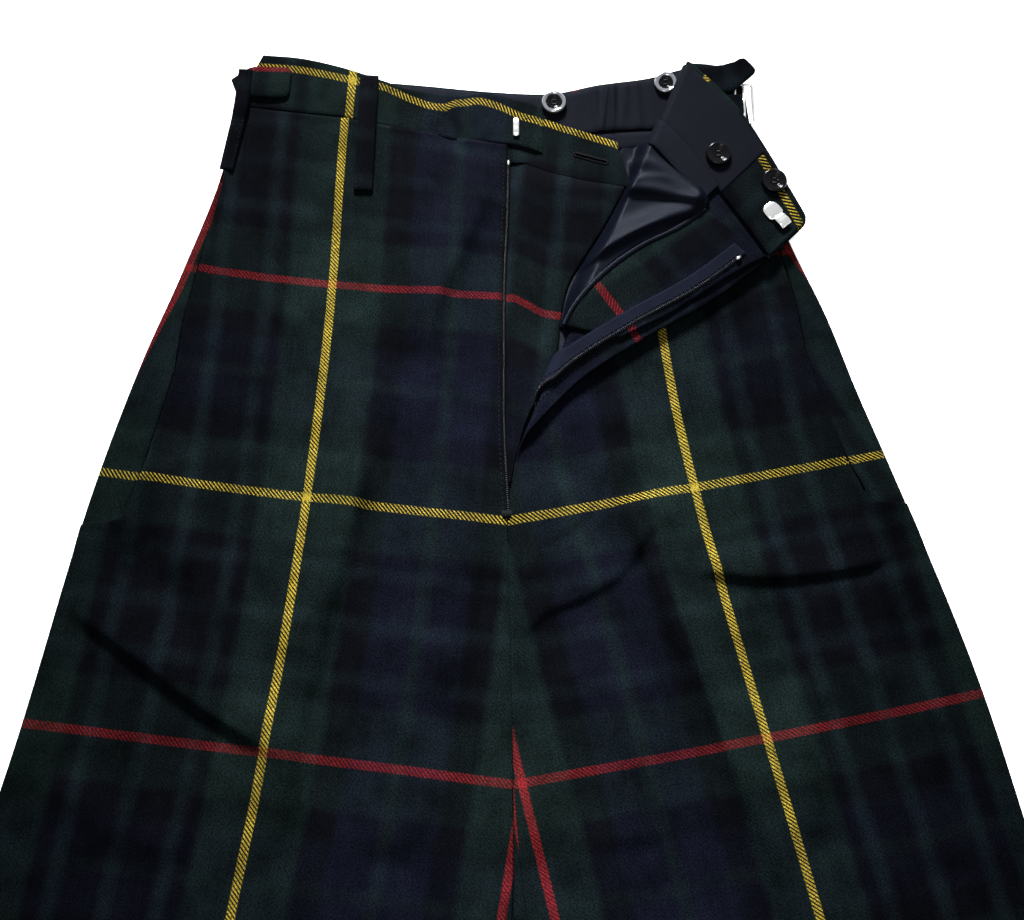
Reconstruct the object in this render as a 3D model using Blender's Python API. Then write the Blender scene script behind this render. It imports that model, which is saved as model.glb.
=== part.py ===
"""Tartan trews lying flat, front up, with the left fly part folded back.

Right and left are the wearer's, so the wearer's right leg is at -X. The waist is at +Y and
the hems at -Y. Sizes are millimetres on a drawing plane whose zero is near the middle of the
fly; FRAME_CENTRE moves the garment so that its outline is centred on the origin.
"""

import math

import bmesh
import bpy
import numpy as np

MM = 0.001
FRAME_CENTRE = (27.5, -254.0)

# Walls and layers, from the floor up
CLOTH = 1.5
LINING = 1.0
GAP = 0.3
LAYER_2 = CLOTH + GAP
ON_LINING = LAYER_2 + LINING + GAP
POCKET_LEVEL = LAYER_2 + CLOTH + GAP
FLY_LEVEL = POCKET_LEVEL + LINING + GAP

# The fly part turns back over a straight roll that rises from the foot of the zip
ROLL_FOOT = (-3.0, -18.0)
ROLL_TOP = (117.0, 268.0)
ROLL_RADIUS = 2.7
ROLL_STEPS = 5
LEAST_FLAP = 20.0

# Sections of a front, each along one weft of the cloth. "down" is the length of cloth below
# the upper yellow line, and the places are those of side seam, crease and centre edge.
SECTION_COLUMNS = ("down", "side_x", "side_y", "crease_x", "crease_y", "inner_x", "inner_y")
RIGHT_SECTIONS = (
    (32, -179, 238, -107, 228, -3, 209),
    (80, -184, 193, -109, 180, -4, 162),
    (146, -204, 126, -111, 113, -6, 105),
    (219, -226, 63, -115, 48, -6, 35),
    (292, -246, -6, -121, -23, -3, -37),
    (438, -278, -154, -139, -171, 0.4, -188),
    (530, -298, -246, -154, -262, -2, -281),
    (700, -303, -415, -176, -432, -49, -449),
    (1040, -321, -757, -214, -770, -107, -783),
)
LEFT_SECTIONS = (
    (32, 153, 220, 88, 221, -20, 202),
    (80, 163, 178, 87, 178, -15, 160),
    (146, 176, 137, 88, 121, -2, 107),
    (200, 194, 92, 93, 72, 6, 57),
    (250, 210, 42, 100, 25, 3.5, 10),
    (292, 223, 5, 108, -17, -2.4, -37),
    (438, 269, -137, 143, -163, 1, -188),
    (530, 290, -227, 165, -252, 12, -281),
    (700, 327, -392, 202, -419, 77, -446),
    (1040, 376, -730, 270, -752, 164, -774),
)
SEAM_DOWN = 32.0
HEM_DOWN = 1040.0

# Pocket mouth: how far from the crease (0) to the side seam (-1) it is cut
POCKET_COLUMNS = ("down", "across")
POCKET_MOUTH = (
    (32, -0.995),
    (84, -0.985),
    (130, -0.92),
    (180, -0.86),
    (230, -0.80),
    (280, -0.80),
    (318, -0.83),
)
POCKET_TOP = 60.0
POCKET_FOOT = 318.0
POCKET_CLOSED = 326.0
POCKET_LAP = 0.12

# Where the two fronts, and the two backs, meet: from the waist down to the fork
CENTRE_COLUMNS = ("y", "x")
CENTRE_SEAM = ((-300, 1.0), (-188, 0.7), (-37, -2.7), (-18, -3.0), (100, -3.0), (280, -3.0))
FORK_Y = -252.0

# How a front sinks to the layers under its edges: at the side below the pocket, at the inside
# leg below the fly, and all over towards the hem. A share is of the way from side to centre.
SIDE_SINK_Y, SIDE_SINK_LENGTH = -40.0, 22.0
INNER_SINK_Y, INNER_SINK_LENGTH = -30.0, 85.0
HEM_SINK, HEM_SINK_Y, HEM_SINK_LENGTH = 1.2, -260.0, 420.0
SIDE_SHARE = 0.38
INNER_SHARE = 0.28
LEFT_INNER_Y, LEFT_INNER_LENGTH = 10.0, 30.0
FOLD_END_SHARES = (0.12, 0.10)

# Bands round the waist: the heights of their top edge and of their seam
BAND_COLUMNS = ("x", "top", "seam")
BAND_RIGHT = (
    (-178, 277, 238),
    (-161, 275, 236),
    (-138, 272, 232.5),
    (-105, 263, 228),
    (-82, 255, 223),
    (-60, 247, 218),
    (-40, 245.5, 213.5),
    (-17, 246, 211),
    (0, 242, 209),
    (20, 236.5, 203),
)
BAND_LEFT = (
    (-22, 239, 201.5),
    (0, 246.5, 206.5),
    (31, 257, 212.5),
    (65, 266, 219),
    (94, 268, 221.5),
    (117, 268, 222),
    (154, 262, 220.5),
)
BAND_BACK = (
    (-179, 272, 236),
    (-105, 259, 226),
    (-55, 254, 216),
    (-17, 250, 213),
    (21, 248, 213),
    (57, 255, 218),
    (90, 260, 220),
    (117, 267, 221),
    (154, 262, 220),
)
UNDERLAP = (
    (8, 224, 197),
    (20, 222, 192),
    (31, 219, 188.5),
    (50, 216, 184),
    (65, 211, 181.5),
    (76, 205, 180),
)

# The slanted ends of the bands: x of the top corner and of the seam corner
BAND_RIGHT_END = (-162.0, -179.5)
BAND_LEFT_END = (148.0, 153.0)
BAND_RIGHT_TIP = 19.5
FLY_END = -20.5
RIGHT_SEAM_EDGE = (-4.0, 208.0)
LEFT_SEAM_Y = 200.0
BACK_SEAM_GAP = 0.45

# Edge of the fly shield that shows in the open fly
SHIELD_COLUMNS = ("y", "x")
SHIELD_EDGE = (
    (-14, -1),
    (5, 3),
    (31, 11),
    (47, 20),
    (67, 27),
    (91, 30),
    (116, 36),
    (130, 44),
    (150, 56),
    (180, 72),
)
SHIELD_INNER_X = -14.0
SHIELD_TOP_X = 71.0

# The facing inside the fly, measured along the roll and out from it
FACING_COLUMNS = ("along", "bound_edge", "fly_edge")
FLY_FACING = (
    (106, -8.3, 27.0),
    (112, -8.3, 32.0),
    (131, -5.3, 48.0),
    (145, -0.3, 57.5),
    (175, 16.5, 78.0),
    (192, 31.0, 90.0),
)
FACING_SLANT = 6.0
ZIP_FROM_EDGE = 11.0
ZIP_TAPE = 12.0
ZIP_SHOWN = 0.8
ZIP_RIGHT_Y = (-14.0, 200.0)
ZIP_LEFT_Y = (36.0, 194.0)
ZIP_PAST_ROLL = 2.8

# Satin pocketing on the inside of the turned-back front
POCKETING_COLUMNS = ("along", "reach")
POCKETING = (
    (142, -1.6),
    (160, 6.0),
    (180, 18.0),
    (197, 33.0),
    (215, 34.0),
    (230, 29.0),
    (242, 16.0),
)
POCKETING_INNER = -3.0

# Pocket bag that shows in the open fly
BAG_COLUMNS = ("y", "x")
BAG_EDGE = ((44, 15), (70, 19), (110, 27), (150, 44), (203, 64))
BAG_RIGHT_X = 104.0

# Largest folds: a ridge from one end to the other
# Columns: x0, y0, x1, y1, half_width, height
FOLDS = (
    (-262, -80, -146, -158, 16, 4.0),
    (120, -62, 238, -46, 15, 3.0),
    (6, -92, 84, -42, 14, 2.5),
    (86, -40, 134, -225, 26, 2.0),
    (-20, 165, -48, 88, 14, 1.5),
    (-88, -55, -112, -140, 18, 1.5),
)
FOLD_END = 15.0

# Gathered stretch of the back waistband's lining
GATHERS_FROM, GATHERS_TO = 45.0, 100.0
GATHER_HEIGHT = 0.35
GATHERS_PER_MM = 0.62

# Loops and straps: half is -1 on the right and 1 on the left, widths go with the points of the
# path, slack lifts the middle, and lift is a rise onto what the end lies on
LOOP = 1.4
ON_FACETS = 0.15
# Columns: name, half, path, widths, slack, steps, x_limit, lift
# Columns of a lift: axis, start, length, height
STRIPS = (
    ("belt_loop_front_right", -1, ((-92, 258), (-94, 176)), (12, 12), 1.4, 14, -300, None),
    (
        "adjuster_strap_right", -1, ((-143, 253), (-166, 254), (-179, 249)), (22, 22, 14),
        0.3, 8, -300, None,
    ),
    (
        "belt_loop_side_right", -1, ((-172, 262), (-173.5, 236), (-181, 191)), (9, 9, 9),
        0.8, 14, -176, (1, 224, 12, 1.9),
    ),
    (
        "adjuster_strap_left", 1, ((119, 254), (138, 255), (148, 261), (154, 266)),
        (20, 20, 15, 14), 0.0, 10, 146, (0, 128, 10, 1.7),
    ),
    (
        "belt_loop_side_left", 1, ((142.5, 243), (147, 190)), (9, 9), 0.0, 14, 148,
        (1, 205, 14, 2.2),
    ),
)

# Buttons: seat is the piece that carries them
# Columns: name, x, y, seat, radius, height
BUTTONS = (
    ("brace_button_back", 27.0, 240.0, "back_lining", 8.0, 3.0),
    ("brace_button_side", 99.5, 254.5, "back_gathers", 7.5, 2.2),
    ("brace_button_front_left", 130.0, 198.0, "flap_lining", 8.0, 3.0),
    ("inner_button_left", 164.0, 179.0, "flap_facing", 8.0, 3.0),
)

# Sheet-metal fittings: sections along them, and the place and direction of the first
METAL = 1.0
# Columns: along, half_width, height
HOOK_SECTIONS = (
    (0, 3.0, 0),
    (2, 5.2, 0),
    (9, 5.2, 0),
    (11, 4.2, 0.4),
    (12, 3.8, 1.6),
    (19, 3.8, 1.6),
)
HOOK_START, HOOK_ANGLE = (158.5, 163.5), math.radians(-52)
BAR_SECTIONS = (
    (0, 1.4, 0),
    (1.2, 2.0, 0),
    (2.2, 2.0, 0.5),
    (10.8, 2.0, 0.5),
    (11.8, 2.0, 0),
    (13, 1.4, 0),
)
BAR_START, BAR_ANGLE = (2.6, 227.5), math.radians(-90)

# Slide buckle: the lines of its frame and its middle bar, round two windows
BUCKLE_X = (142.6, 144.6, 148.2, 149.9, 153.8, 155.8)
BUCKLE_Y = (222.5, 224.7, 250.6, 252.8)
BUCKLE_WINDOWS = (1, 3)
BUCKLE_THICKNESS = 1.5

WOOL = ((0.030, 0.055, 0.060), 0.90, 0.0)
BLACK_LINING = ((0.020, 0.018, 0.026), 0.60, 0.0)
SATIN = ((0.014, 0.014, 0.020), 0.35, 0.0)
TAPE = ((0.025, 0.025, 0.032), 0.80, 0.0)
NICKEL = ((0.72, 0.72, 0.70), 0.22, 1.0)
BUTTON_BLACK = ((0.012, 0.012, 0.014), 0.25, 0.0)


def material(name, finish):
    colour, roughness, metallic = finish
    made = bpy.data.materials.get(name) or bpy.data.materials.new(name)
    made.use_nodes = True
    shader = made.node_tree.nodes["Principled BSDF"]
    shader.inputs["Base Color"].default_value = (*colour, 1.0)
    shader.inputs["Roughness"].default_value = roughness
    shader.inputs["Metallic"].default_value = metallic
    return made


def column(table, names, wanted):
    """One named column of a table."""
    index = names.index(wanted)
    return np.array([row[index] for row in table], float)


def curve(knots, values, at):
    """Smooth value at each station, by a curve that stays between the table's rows."""
    at = np.clip(np.asarray(at, float), knots[0], knots[-1])
    spans = np.diff(knots)
    slopes = np.diff(values) / spans
    tangents = np.empty_like(values)
    tangents[0], tangents[-1] = slopes[0], slopes[-1]
    inner = (slopes[:-1] * spans[1:] + slopes[1:] * spans[:-1]) / (spans[:-1] + spans[1:])
    tangents[1:-1] = np.where(slopes[:-1] * slopes[1:] > 0, inner, 0.0)
    left = np.clip(np.searchsorted(knots, at, side="right") - 1, 0, len(knots) - 2)
    span = spans[left]
    f = (at - knots[left]) / span
    return (
        (2 * f**3 - 3 * f**2 + 1) * values[left]
        + (f**3 - 2 * f**2 + f) * span * tangents[left]
        + (3 * f**2 - 2 * f**3) * values[left + 1]
        + (f**3 - f**2) * span * tangents[left + 1]
    )


def read(table, names, key, wanted, at):
    return curve(column(table, names, key), column(table, names, wanted), at)


def ease(value):
    value = np.clip(value, 0.0, 1.0)
    return value * value * (3 - 2 * value)


def centre_x(y):
    return read(CENTRE_SEAM, CENTRE_COLUMNS, "y", "x", y)


def front_place(sections, down, across):
    """Point of a front on the plane: across is -1 at the side, 0 at the crease, 1 inside."""
    def at(name):
        return read(sections, SECTION_COLUMNS, "down", name, down)

    def bow(axis):
        side, crease, inner = at("side_" + axis), at("crease_" + axis), at("inner_" + axis)
        return crease + (inner - side) / 2 * across + ((inner + side) / 2 - crease) * across**2

    return bow("x"), bow("y")


def keep_to_half(x, y, half):
    """Keep a leg on its own side of the seam, above the fork."""
    limit = centre_x(y) + half * GAP / 2
    beyond = (x - limit) * half < 0
    return np.where((y > FORK_Y) & beyond, limit, x)


def edge_x(sections, edge, y):
    places = column(sections, SECTION_COLUMNS, edge + "_y")[::-1]
    return curve(places, column(sections, SECTION_COLUMNS, edge + "_x")[::-1], y)


def fold_height(x, y):
    total = np.zeros_like(np.asarray(x, float))
    for x0, y0, x1, y1, half_width, height in FOLDS:
        length = math.hypot(x1 - x0, y1 - y0)
        along = ((x - x0) * (x1 - x0) + (y - y0) * (y1 - y0)) / length
        off = ((x - x0) * (y1 - y0) - (y - y0) * (x1 - x0)) / length
        ends = ease((along + FOLD_END) / (2 * FOLD_END))
        ends = ends * ease((length + FOLD_END - along) / (2 * FOLD_END))
        total = total + height * ends * np.exp(-((off / half_width) ** 2))
    return total


def front_level(half, x, y):
    """Height of the underside of a front above the floor, at a point of the plane."""
    sections = RIGHT_SECTIONS if half < 0 else LEFT_SECTIONS
    side, inner = edge_x(sections, "side", y), edge_x(sections, "inner", y)
    part = np.clip((x - side) / (inner - side), 0.0, 1.0)
    side_sink = ease((SIDE_SINK_Y - y) / SIDE_SINK_LENGTH)
    inner_sink = ease((INNER_SINK_Y - y) / INNER_SINK_LENGTH)
    at_side = POCKET_LEVEL + (LAYER_2 - POCKET_LEVEL) * side_sink
    at_inner = FLY_LEVEL + (LAYER_2 - FLY_LEVEL) * inner_sink
    middle = FLY_LEVEL - HEM_SINK * ease((HEM_SINK_Y - y) / HEM_SINK_LENGTH)
    rise = ease(part / SIDE_SHARE)
    fall = ease((part - 1 + INNER_SHARE) / INNER_SHARE)
    if half > 0:
        fall = fall * ease((LEFT_INNER_Y - y) / LEFT_INNER_LENGTH)
    level = at_side + (middle - at_side) * rise + (at_inner - middle) * fall
    from_side, from_inner = FOLD_END_SHARES
    away_from_edges = ease(part / from_side) * ease((1 - part) / from_inner)
    return level + fold_height(x, y) * away_from_edges


ROLL_ANGLE = math.atan2(ROLL_TOP[1] - ROLL_FOOT[1], ROLL_TOP[0] - ROLL_FOOT[0])
ROLL_ALONG = (math.cos(ROLL_ANGLE), math.sin(ROLL_ANGLE))
ROLL_TURN = math.pi * ROLL_RADIUS
ROLL_MIDDLE = FLY_LEVEL + CLOTH / 2
FLAP_TOP = ROLL_MIDDLE + 2 * ROLL_RADIUS + CLOTH / 2


def past_roll(x, y):
    """Distance to the roll line, positive on the side of the fly edge."""
    return (y - ROLL_FOOT[1]) * ROLL_ALONG[0] - (x - ROLL_FOOT[0]) * ROLL_ALONG[1]


def from_roll(along, out, z):
    """Point measured along the roll and out from it, over the turned-back part."""
    x = ROLL_FOOT[0] + ROLL_ALONG[0] * along + ROLL_ALONG[1] * out
    y = ROLL_FOOT[1] + ROLL_ALONG[1] * along - ROLL_ALONG[0] * out
    return np.stack([x, y, np.broadcast_to(z, np.shape(x))], axis=-1)


def turn_back(x, y, level, above):
    """Place of a point of the left front, with the fly part rolled over onto the leg.

    level is the height of the cloth's middle where it lies flat, and above is the point's
    height over that middle, on the outer side of the cloth.
    """
    past = past_roll(x, y)
    angle = np.clip(past / ROLL_RADIUS, 0.0, math.pi)
    radius = ROLL_RADIUS - above
    swing = radius * np.sin(angle) - np.maximum(past - ROLL_TURN, 0.0)
    shift = np.where(past > 0, swing - past, 0.0)
    rolled_z = ROLL_MIDDLE + ROLL_RADIUS - radius * np.cos(angle)
    return np.stack(
        [
            x - ROLL_ALONG[1] * shift,
            y + ROLL_ALONG[0] * shift,
            np.where(past > 0, rolled_z, level + above),
        ],
        axis=-1,
    )


def stations(place, start, stop, flat_steps, flap_steps):
    """Stations along one row of the left front, close together round the roll."""
    probe = np.linspace(start, stop, 401)
    x, y = place(probe)
    travel = np.concatenate([[0.0], np.cumsum(np.hypot(np.diff(x), np.diff(y)))])
    past = past_roll(x, y)
    crossing = travel[int(np.argmax(past > 0))] if (past > 0).any() else travel[-1]
    crossing = min(crossing, travel[-1] - LEAST_FLAP)
    turn = min(ROLL_TURN * 1.06, (travel[-1] - crossing) / 2)
    ways = np.concatenate(
        [
            np.linspace(0.0, crossing, flat_steps + 1),
            crossing + turn * np.arange(1, ROLL_STEPS + 1) / ROLL_STEPS,
            np.linspace(crossing + turn, travel[-1], flap_steps + 1)[1:],
        ]
    )
    return np.interp(ways, travel, probe)


def add_solid(name, mesh_builder, finish, finish_name, smooth=True):
    mesh = bpy.data.meshes.new(name)
    shape = bmesh.new()
    mesh_builder(shape)
    bmesh.ops.recalc_face_normals(shape, faces=shape.faces)
    shape.to_mesh(mesh)
    shape.free()
    mesh.materials.append(material(finish_name, finish))
    solid = bpy.data.objects.new(name, mesh)
    bpy.context.scene.collection.objects.link(solid)
    if smooth:
        mesh.shade_smooth()
        mesh.set_sharp_from_angle(angle=math.radians(40))
    return solid


def to_world(point):
    return ((point[0] - FRAME_CENTRE[0]) * MM, (point[1] - FRAME_CENTRE[1]) * MM, point[2] * MM)


def wall(name, under, over, finish, finish_name):
    """Closed wall between an underside and an upper side, both grids of points."""
    rows, columns = under.shape[:2]

    def build(shape):
        def sheet(points):
            return [[shape.verts.new(to_world(p)) for p in row] for row in points]

        low, high = sheet(under), sheet(over)
        for r in range(rows - 1):
            for c in range(columns - 1):
                shape.faces.new((high[r][c], high[r][c + 1], high[r + 1][c + 1], high[r + 1][c]))
                shape.faces.new((low[r][c], low[r + 1][c], low[r + 1][c + 1], low[r][c + 1]))
        ring = [(0, c) for c in range(columns - 1)]
        ring += [(r, columns - 1) for r in range(rows - 1)]
        ring += [(rows - 1, c) for c in range(columns - 1, 0, -1)]
        ring += [(r, 0) for r in range(rows - 1, 0, -1)]
        for (r0, c0), (r1, c1) in zip(ring, ring[1:] + ring[:1]):
            shape.faces.new((low[r0][c0], low[r1][c1], high[r1][c1], high[r0][c0]))

    return add_solid(name, build, finish, finish_name)


def flat_wall(name, x, y, level, thickness, finish, finish_name):
    """Wall that keeps its thickness upright, over a grid of places on the plane."""
    level = np.broadcast_to(level, np.shape(x))
    under = np.stack([x, y, level], axis=-1)
    over = np.stack([x, y, level + thickness], axis=-1)
    return wall(name, under, over, finish, finish_name)


FRONT_ROWS = np.concatenate(
    [
        np.linspace(SEAM_DOWN, POCKET_FOOT, 20),
        [POCKET_CLOSED],
        np.linspace(POCKET_CLOSED, 560, 17)[1:],
        np.linspace(560, HEM_DOWN, 15)[1:],
    ]
)


def outer_across(down):
    """The side edge of a front: the pocket mouth, then the side seam."""
    if down > POCKET_FOOT:
        return -1.0
    return float(read(POCKET_MOUTH, POCKET_COLUMNS, "down", "across", down))


def front_right():
    xs, ys = [], []
    for down in FRONT_ROWS:
        start = outer_across(down)
        across = start + (1 - start) * np.linspace(0, 1, 17)
        x, y = front_place(RIGHT_SECTIONS, down, across)
        if down == SEAM_DOWN:
            y = read(BAND_RIGHT, BAND_COLUMNS, "x", "seam", x) - GAP
        xs.append(keep_to_half(x, y, -1))
        ys.append(y)
    x, y = np.array(xs), np.array(ys)
    flat_wall("front_right", x, y, front_level(-1, x, y), CLOTH, WOOL, "tartan_wool")


def front_left():
    under, over = [], []
    for down in FRONT_ROWS:
        def place(across, down=down):
            x, y = front_place(LEFT_SECTIONS, down, across)
            return np.where(y < ROLL_FOOT[1], keep_to_half(x, y, 1), x), y

        across = stations(place, outer_across(down), 1.0, 12, 6)
        x, y = place(across)
        if down == SEAM_DOWN:
            y = read(BAND_LEFT, BAND_COLUMNS, "x", "seam", x) - GAP
        level = front_level(1, x, y) + CLOTH / 2
        under.append(turn_back(x, y, level, -CLOTH / 2))
        over.append(turn_back(x, y, level, CLOTH / 2))
    wall("front_left", np.array(under), np.array(over), WOOL, "tartan_wool")


def back_leg(name, sections, half):
    downs = np.concatenate(
        [[SEAM_DOWN], np.linspace(60, 560, 15), np.linspace(560, HEM_DOWN, 7)[1:]]
    )
    share = np.linspace(0, 1, 9)
    xs, ys = [], []
    for down in downs:
        x, y = front_place(sections, down, 2 * share - 1)
        inner_edge = np.where(y > FORK_Y, centre_x(y) + half * GAP / 2, x)
        x = x + share * np.where(y[-1] > FORK_Y, inner_edge[-1] - x[-1], 0.0)
        if down == SEAM_DOWN:
            y = read(BAND_BACK, BAND_COLUMNS, "x", "seam", x) - BACK_SEAM_GAP
        xs.append(x)
        ys.append(y)
    flat_wall(name, np.array(xs), np.array(ys), 0.0, CLOTH, WOOL, "tartan_wool")


def band_grid(table, xs, shares):
    top = read(table, BAND_COLUMNS, "x", "top", xs)
    seam = read(table, BAND_COLUMNS, "x", "seam", xs)
    return seam + (top - seam) * shares


def waistband_right():
    shares = np.linspace(0, 1, 4)[:, None]
    start = BAND_RIGHT_END[1] + (BAND_RIGHT_END[0] - BAND_RIGHT_END[1]) * shares
    xs = start + (BAND_RIGHT_TIP - start) * np.linspace(0, 1, 20)[None, :]
    ys = band_grid(BAND_RIGHT, xs, shares)
    edge_x_limit, edge_y_limit = RIGHT_SEAM_EDGE
    level = front_level(-1, np.minimum(xs, edge_x_limit), np.minimum(ys, edge_y_limit))
    flat_wall("waistband_front_right", xs, ys, level, CLOTH, WOOL, "tartan_wool")


def underlap():
    shares = np.linspace(0, 1, 3)[:, None]
    ends = column(UNDERLAP, BAND_COLUMNS, "x")[[0, -1]]
    xs = np.broadcast_to(np.linspace(*ends, 10)[None, :], (3, 10))
    ys = band_grid(UNDERLAP, xs, shares)
    flat_wall("waistband_underlap_right", xs, ys, ON_LINING, CLOTH, WOOL, "tartan_wool")


def left_band_row(share):
    """Unfolded place along the left waistband, from the side seam to the fly end."""
    side = BAND_LEFT_END[1] + (BAND_LEFT_END[0] - BAND_LEFT_END[1]) * share

    def place(part):
        x = side + (FLY_END - side) * part
        return x, band_grid(BAND_LEFT, x, share)

    return place


def waistband_left():
    under, over = [], []
    for share in np.linspace(0, 1, 4):
        place = left_band_row(share)
        x, y = place(stations(place, 0.0, 1.0, 6, 12))
        level = front_level(1, x, np.minimum(y, LEFT_SEAM_Y)) + CLOTH / 2
        under.append(turn_back(x, y, level, -CLOTH / 2))
        over.append(turn_back(x, y, level, CLOTH / 2))
    wall("waistband_front_left", np.array(under), np.array(over), WOOL, "tartan_wool")


def on_left_band(name, shares, stretch, above, thickness, finish, finish_name):
    """Layer on the inside of the turned-back waistband.

    stretch is how far past the roll it may begin, the x that it may begin at, and the x that
    it ends at, both as the band lies unfolded.
    """
    from_past, from_x, to_x = stretch
    under, over = [], []
    for share in shares:
        place = left_band_row(share)
        probe = np.linspace(0, 1, 801)
        x, y = place(probe)
        past = past_roll(x, y)
        at_x = np.interp(from_x, x[::-1], probe[::-1])
        start = max(np.interp(from_past, past, probe), at_x)
        turn = max(np.interp(ROLL_TURN, past, probe), start + 0.01)
        stop = np.interp(to_x, x[::-1], probe[::-1])
        parts = np.concatenate([np.linspace(start, turn, 4), np.linspace(turn, stop, 9)[1:]])
        x, y = place(parts)
        under.append(turn_back(x, y, ROLL_MIDDLE, -above))
        over.append(turn_back(x, y, ROLL_MIDDLE, -above - thickness))
    wall(name, np.array(under), np.array(over), finish, finish_name)


LINING_END_X = 31.0
CURTAIN_END_X = 35.0
SIDE_X = 150.0
ON_CLOTH = CLOTH / 2 + GAP


def left_band_linings():
    on_left_band(
        "waistband_lining_front_left", np.linspace(0.03, 0.97, 4),
        (ROLL_TURN / 2, SIDE_X, LINING_END_X),
        ON_CLOTH, LINING, BLACK_LINING, "black_lining",
    )
    on_left_band(
        "waistband_curtain_front_left", np.linspace(-0.30, 0.06, 3),
        (ROLL_TURN + 1, SIDE_X, CURTAIN_END_X),
        ON_CLOTH + LINING + GAP, LINING, BLACK_LINING, "black_lining",
    )
    on_left_band(
        "waistband_end_facing_left", np.linspace(0.03, 0.96, 4),
        (ROLL_TURN, LINING_END_X - GAP, FLY_END + 1.0),
        ON_CLOTH, CLOTH, WOOL, "tartan_wool",
    )


def back_waist():
    xs = np.broadcast_to(np.linspace(0, 1, 22)[None, :], (3, 22))
    shares = np.linspace(0, 1, 3)[:, None]
    left_end = BAND_RIGHT_END[1] + (BAND_RIGHT_END[0] - BAND_RIGHT_END[1]) * shares
    right_end = BAND_LEFT_END[1] + (BAND_LEFT_END[0] - BAND_LEFT_END[1]) * shares
    xs = left_end + (right_end - left_end) * xs
    ys = band_grid(BAND_BACK, xs, shares)
    flat_wall("waistband_back", xs, ys, 0.0, CLOTH, WOOL, "tartan_wool")

    lining_x = np.broadcast_to(np.linspace(-158, 144, 64)[None, :], (4, 64))
    lining_share = np.linspace(0.05, 0.94, 4)[:, None]
    lining_y = band_grid(BAND_BACK, lining_x, lining_share)
    gathered = ease((lining_x - GATHERS_FROM) / 14) * ease((GATHERS_TO - lining_x) / 10)
    under = np.stack([lining_x, lining_y, np.full_like(lining_y, LAYER_2)], axis=-1)
    waves = 1 + np.sin(lining_x * GATHERS_PER_MM + 0.8 * lining_share)
    waves = GATHER_HEIGHT * gathered * waves
    over = np.stack([lining_x, lining_y, LAYER_2 + LINING + waves], axis=-1)
    wall("waistband_lining_back", under, over, BLACK_LINING, "black_lining")

    curtain_x = np.broadcast_to(np.linspace(-140, 144, 12)[None, :], (2, 12))
    seam = read(BAND_BACK, BAND_COLUMNS, "x", "seam", curtain_x)
    curtain_y = seam + np.array([[-11.0], [GAP]])
    flat_wall(
        "waistband_curtain_back", curtain_x, curtain_y, LAYER_2, LINING,
        BLACK_LINING, "black_lining",
    )


def fly_shield():
    rows_x, rows_y = [], []
    for y in np.concatenate([np.linspace(-14, 1, 3), np.linspace(12, 178, 14)]):
        edge = float(read(SHIELD_EDGE, SHIELD_COLUMNS, "y", "x", y))
        x = np.linspace(SHIELD_INNER_X, edge, 8)
        rows_x.append(x)
        rows_y.append(np.full_like(x, y))
    x = np.linspace(SHIELD_INNER_X, SHIELD_TOP_X, 8)
    seam = read(UNDERLAP, BAND_COLUMNS, "x", "seam", x)
    rows_x.append(x)
    rows_y.append(seam - GAP)
    x, y = np.array(rows_x), np.array(rows_y)
    level = LAYER_2 + (ON_LINING - LAYER_2) * ease(x / 12)
    flat_wall("fly_shield", x, y, level, CLOTH, WOOL, "tartan_wool")


def fly_facing():
    along = np.linspace(FLY_FACING[0][0], FLY_FACING[-1][0], 12)
    inside = read(FLY_FACING, FACING_COLUMNS, "along", "bound_edge", along)
    outside = read(FLY_FACING, FACING_COLUMNS, "along", "fly_edge", along)
    out = inside[:, None] + (outside - inside)[:, None] * np.linspace(0, 1, 7)[None, :]
    slant = FACING_SLANT * np.linspace(0, 1, 7)[None, :]
    along = np.broadcast_to(along[:, None], out.shape) + slant
    low = FLAP_TOP + GAP
    wall(
        "fly_facing_left", from_roll(along, out, low), from_roll(along, out, low + CLOTH),
        WOOL, "tartan_wool",
    )


def zips():
    y = np.linspace(*ZIP_RIGHT_Y, 18)[:, None]
    edge = edge_x(RIGHT_SECTIONS, "inner", y)
    x = edge + np.array([[-ZIP_FROM_EDGE, ZIP_SHOWN]])
    y = np.broadcast_to(y, x.shape)
    flat_wall("zip_tape_right", x, y, POCKET_LEVEL, LINING, TAPE, "zip_tape")

    height = np.linspace(*ZIP_LEFT_Y, 30)[:, None]
    edge = edge_x(LEFT_SECTIONS, "inner", height)
    roll_x = ROLL_FOOT[0] + (height - ROLL_FOOT[1]) * ROLL_ALONG[0] / ROLL_ALONG[1]
    width = np.minimum(ZIP_TAPE, roll_x - ZIP_PAST_ROLL / ROLL_ALONG[1] - edge - ZIP_FROM_EDGE)
    x = edge + ZIP_FROM_EDGE + width * np.linspace(0, 1, 7)[None, :]
    y = np.broadcast_to(height, x.shape)
    above = ON_CLOTH + CLOTH + GAP
    under = turn_back(x, y, ROLL_MIDDLE, -above)
    over = turn_back(x, y, ROLL_MIDDLE, -above - LINING)
    wall("zip_tape_left", under, over, TAPE, "zip_tape")


def pocket_facing(name, sections):
    """Piece that shows in the slanted pocket mouth, under the front."""
    xs, ys = [], []
    for down in np.linspace(POCKET_TOP, POCKET_FOOT + 4, 14):
        mouth = float(read(POCKET_MOUTH, POCKET_COLUMNS, "down", "across", down))
        x, y = front_place(sections, down, np.linspace(-1, mouth + POCKET_LAP, 4))
        xs.append(x)
        ys.append(y)
    flat_wall(name, np.array(xs), np.array(ys), LAYER_2, CLOTH, WOOL, "tartan_wool")


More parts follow.
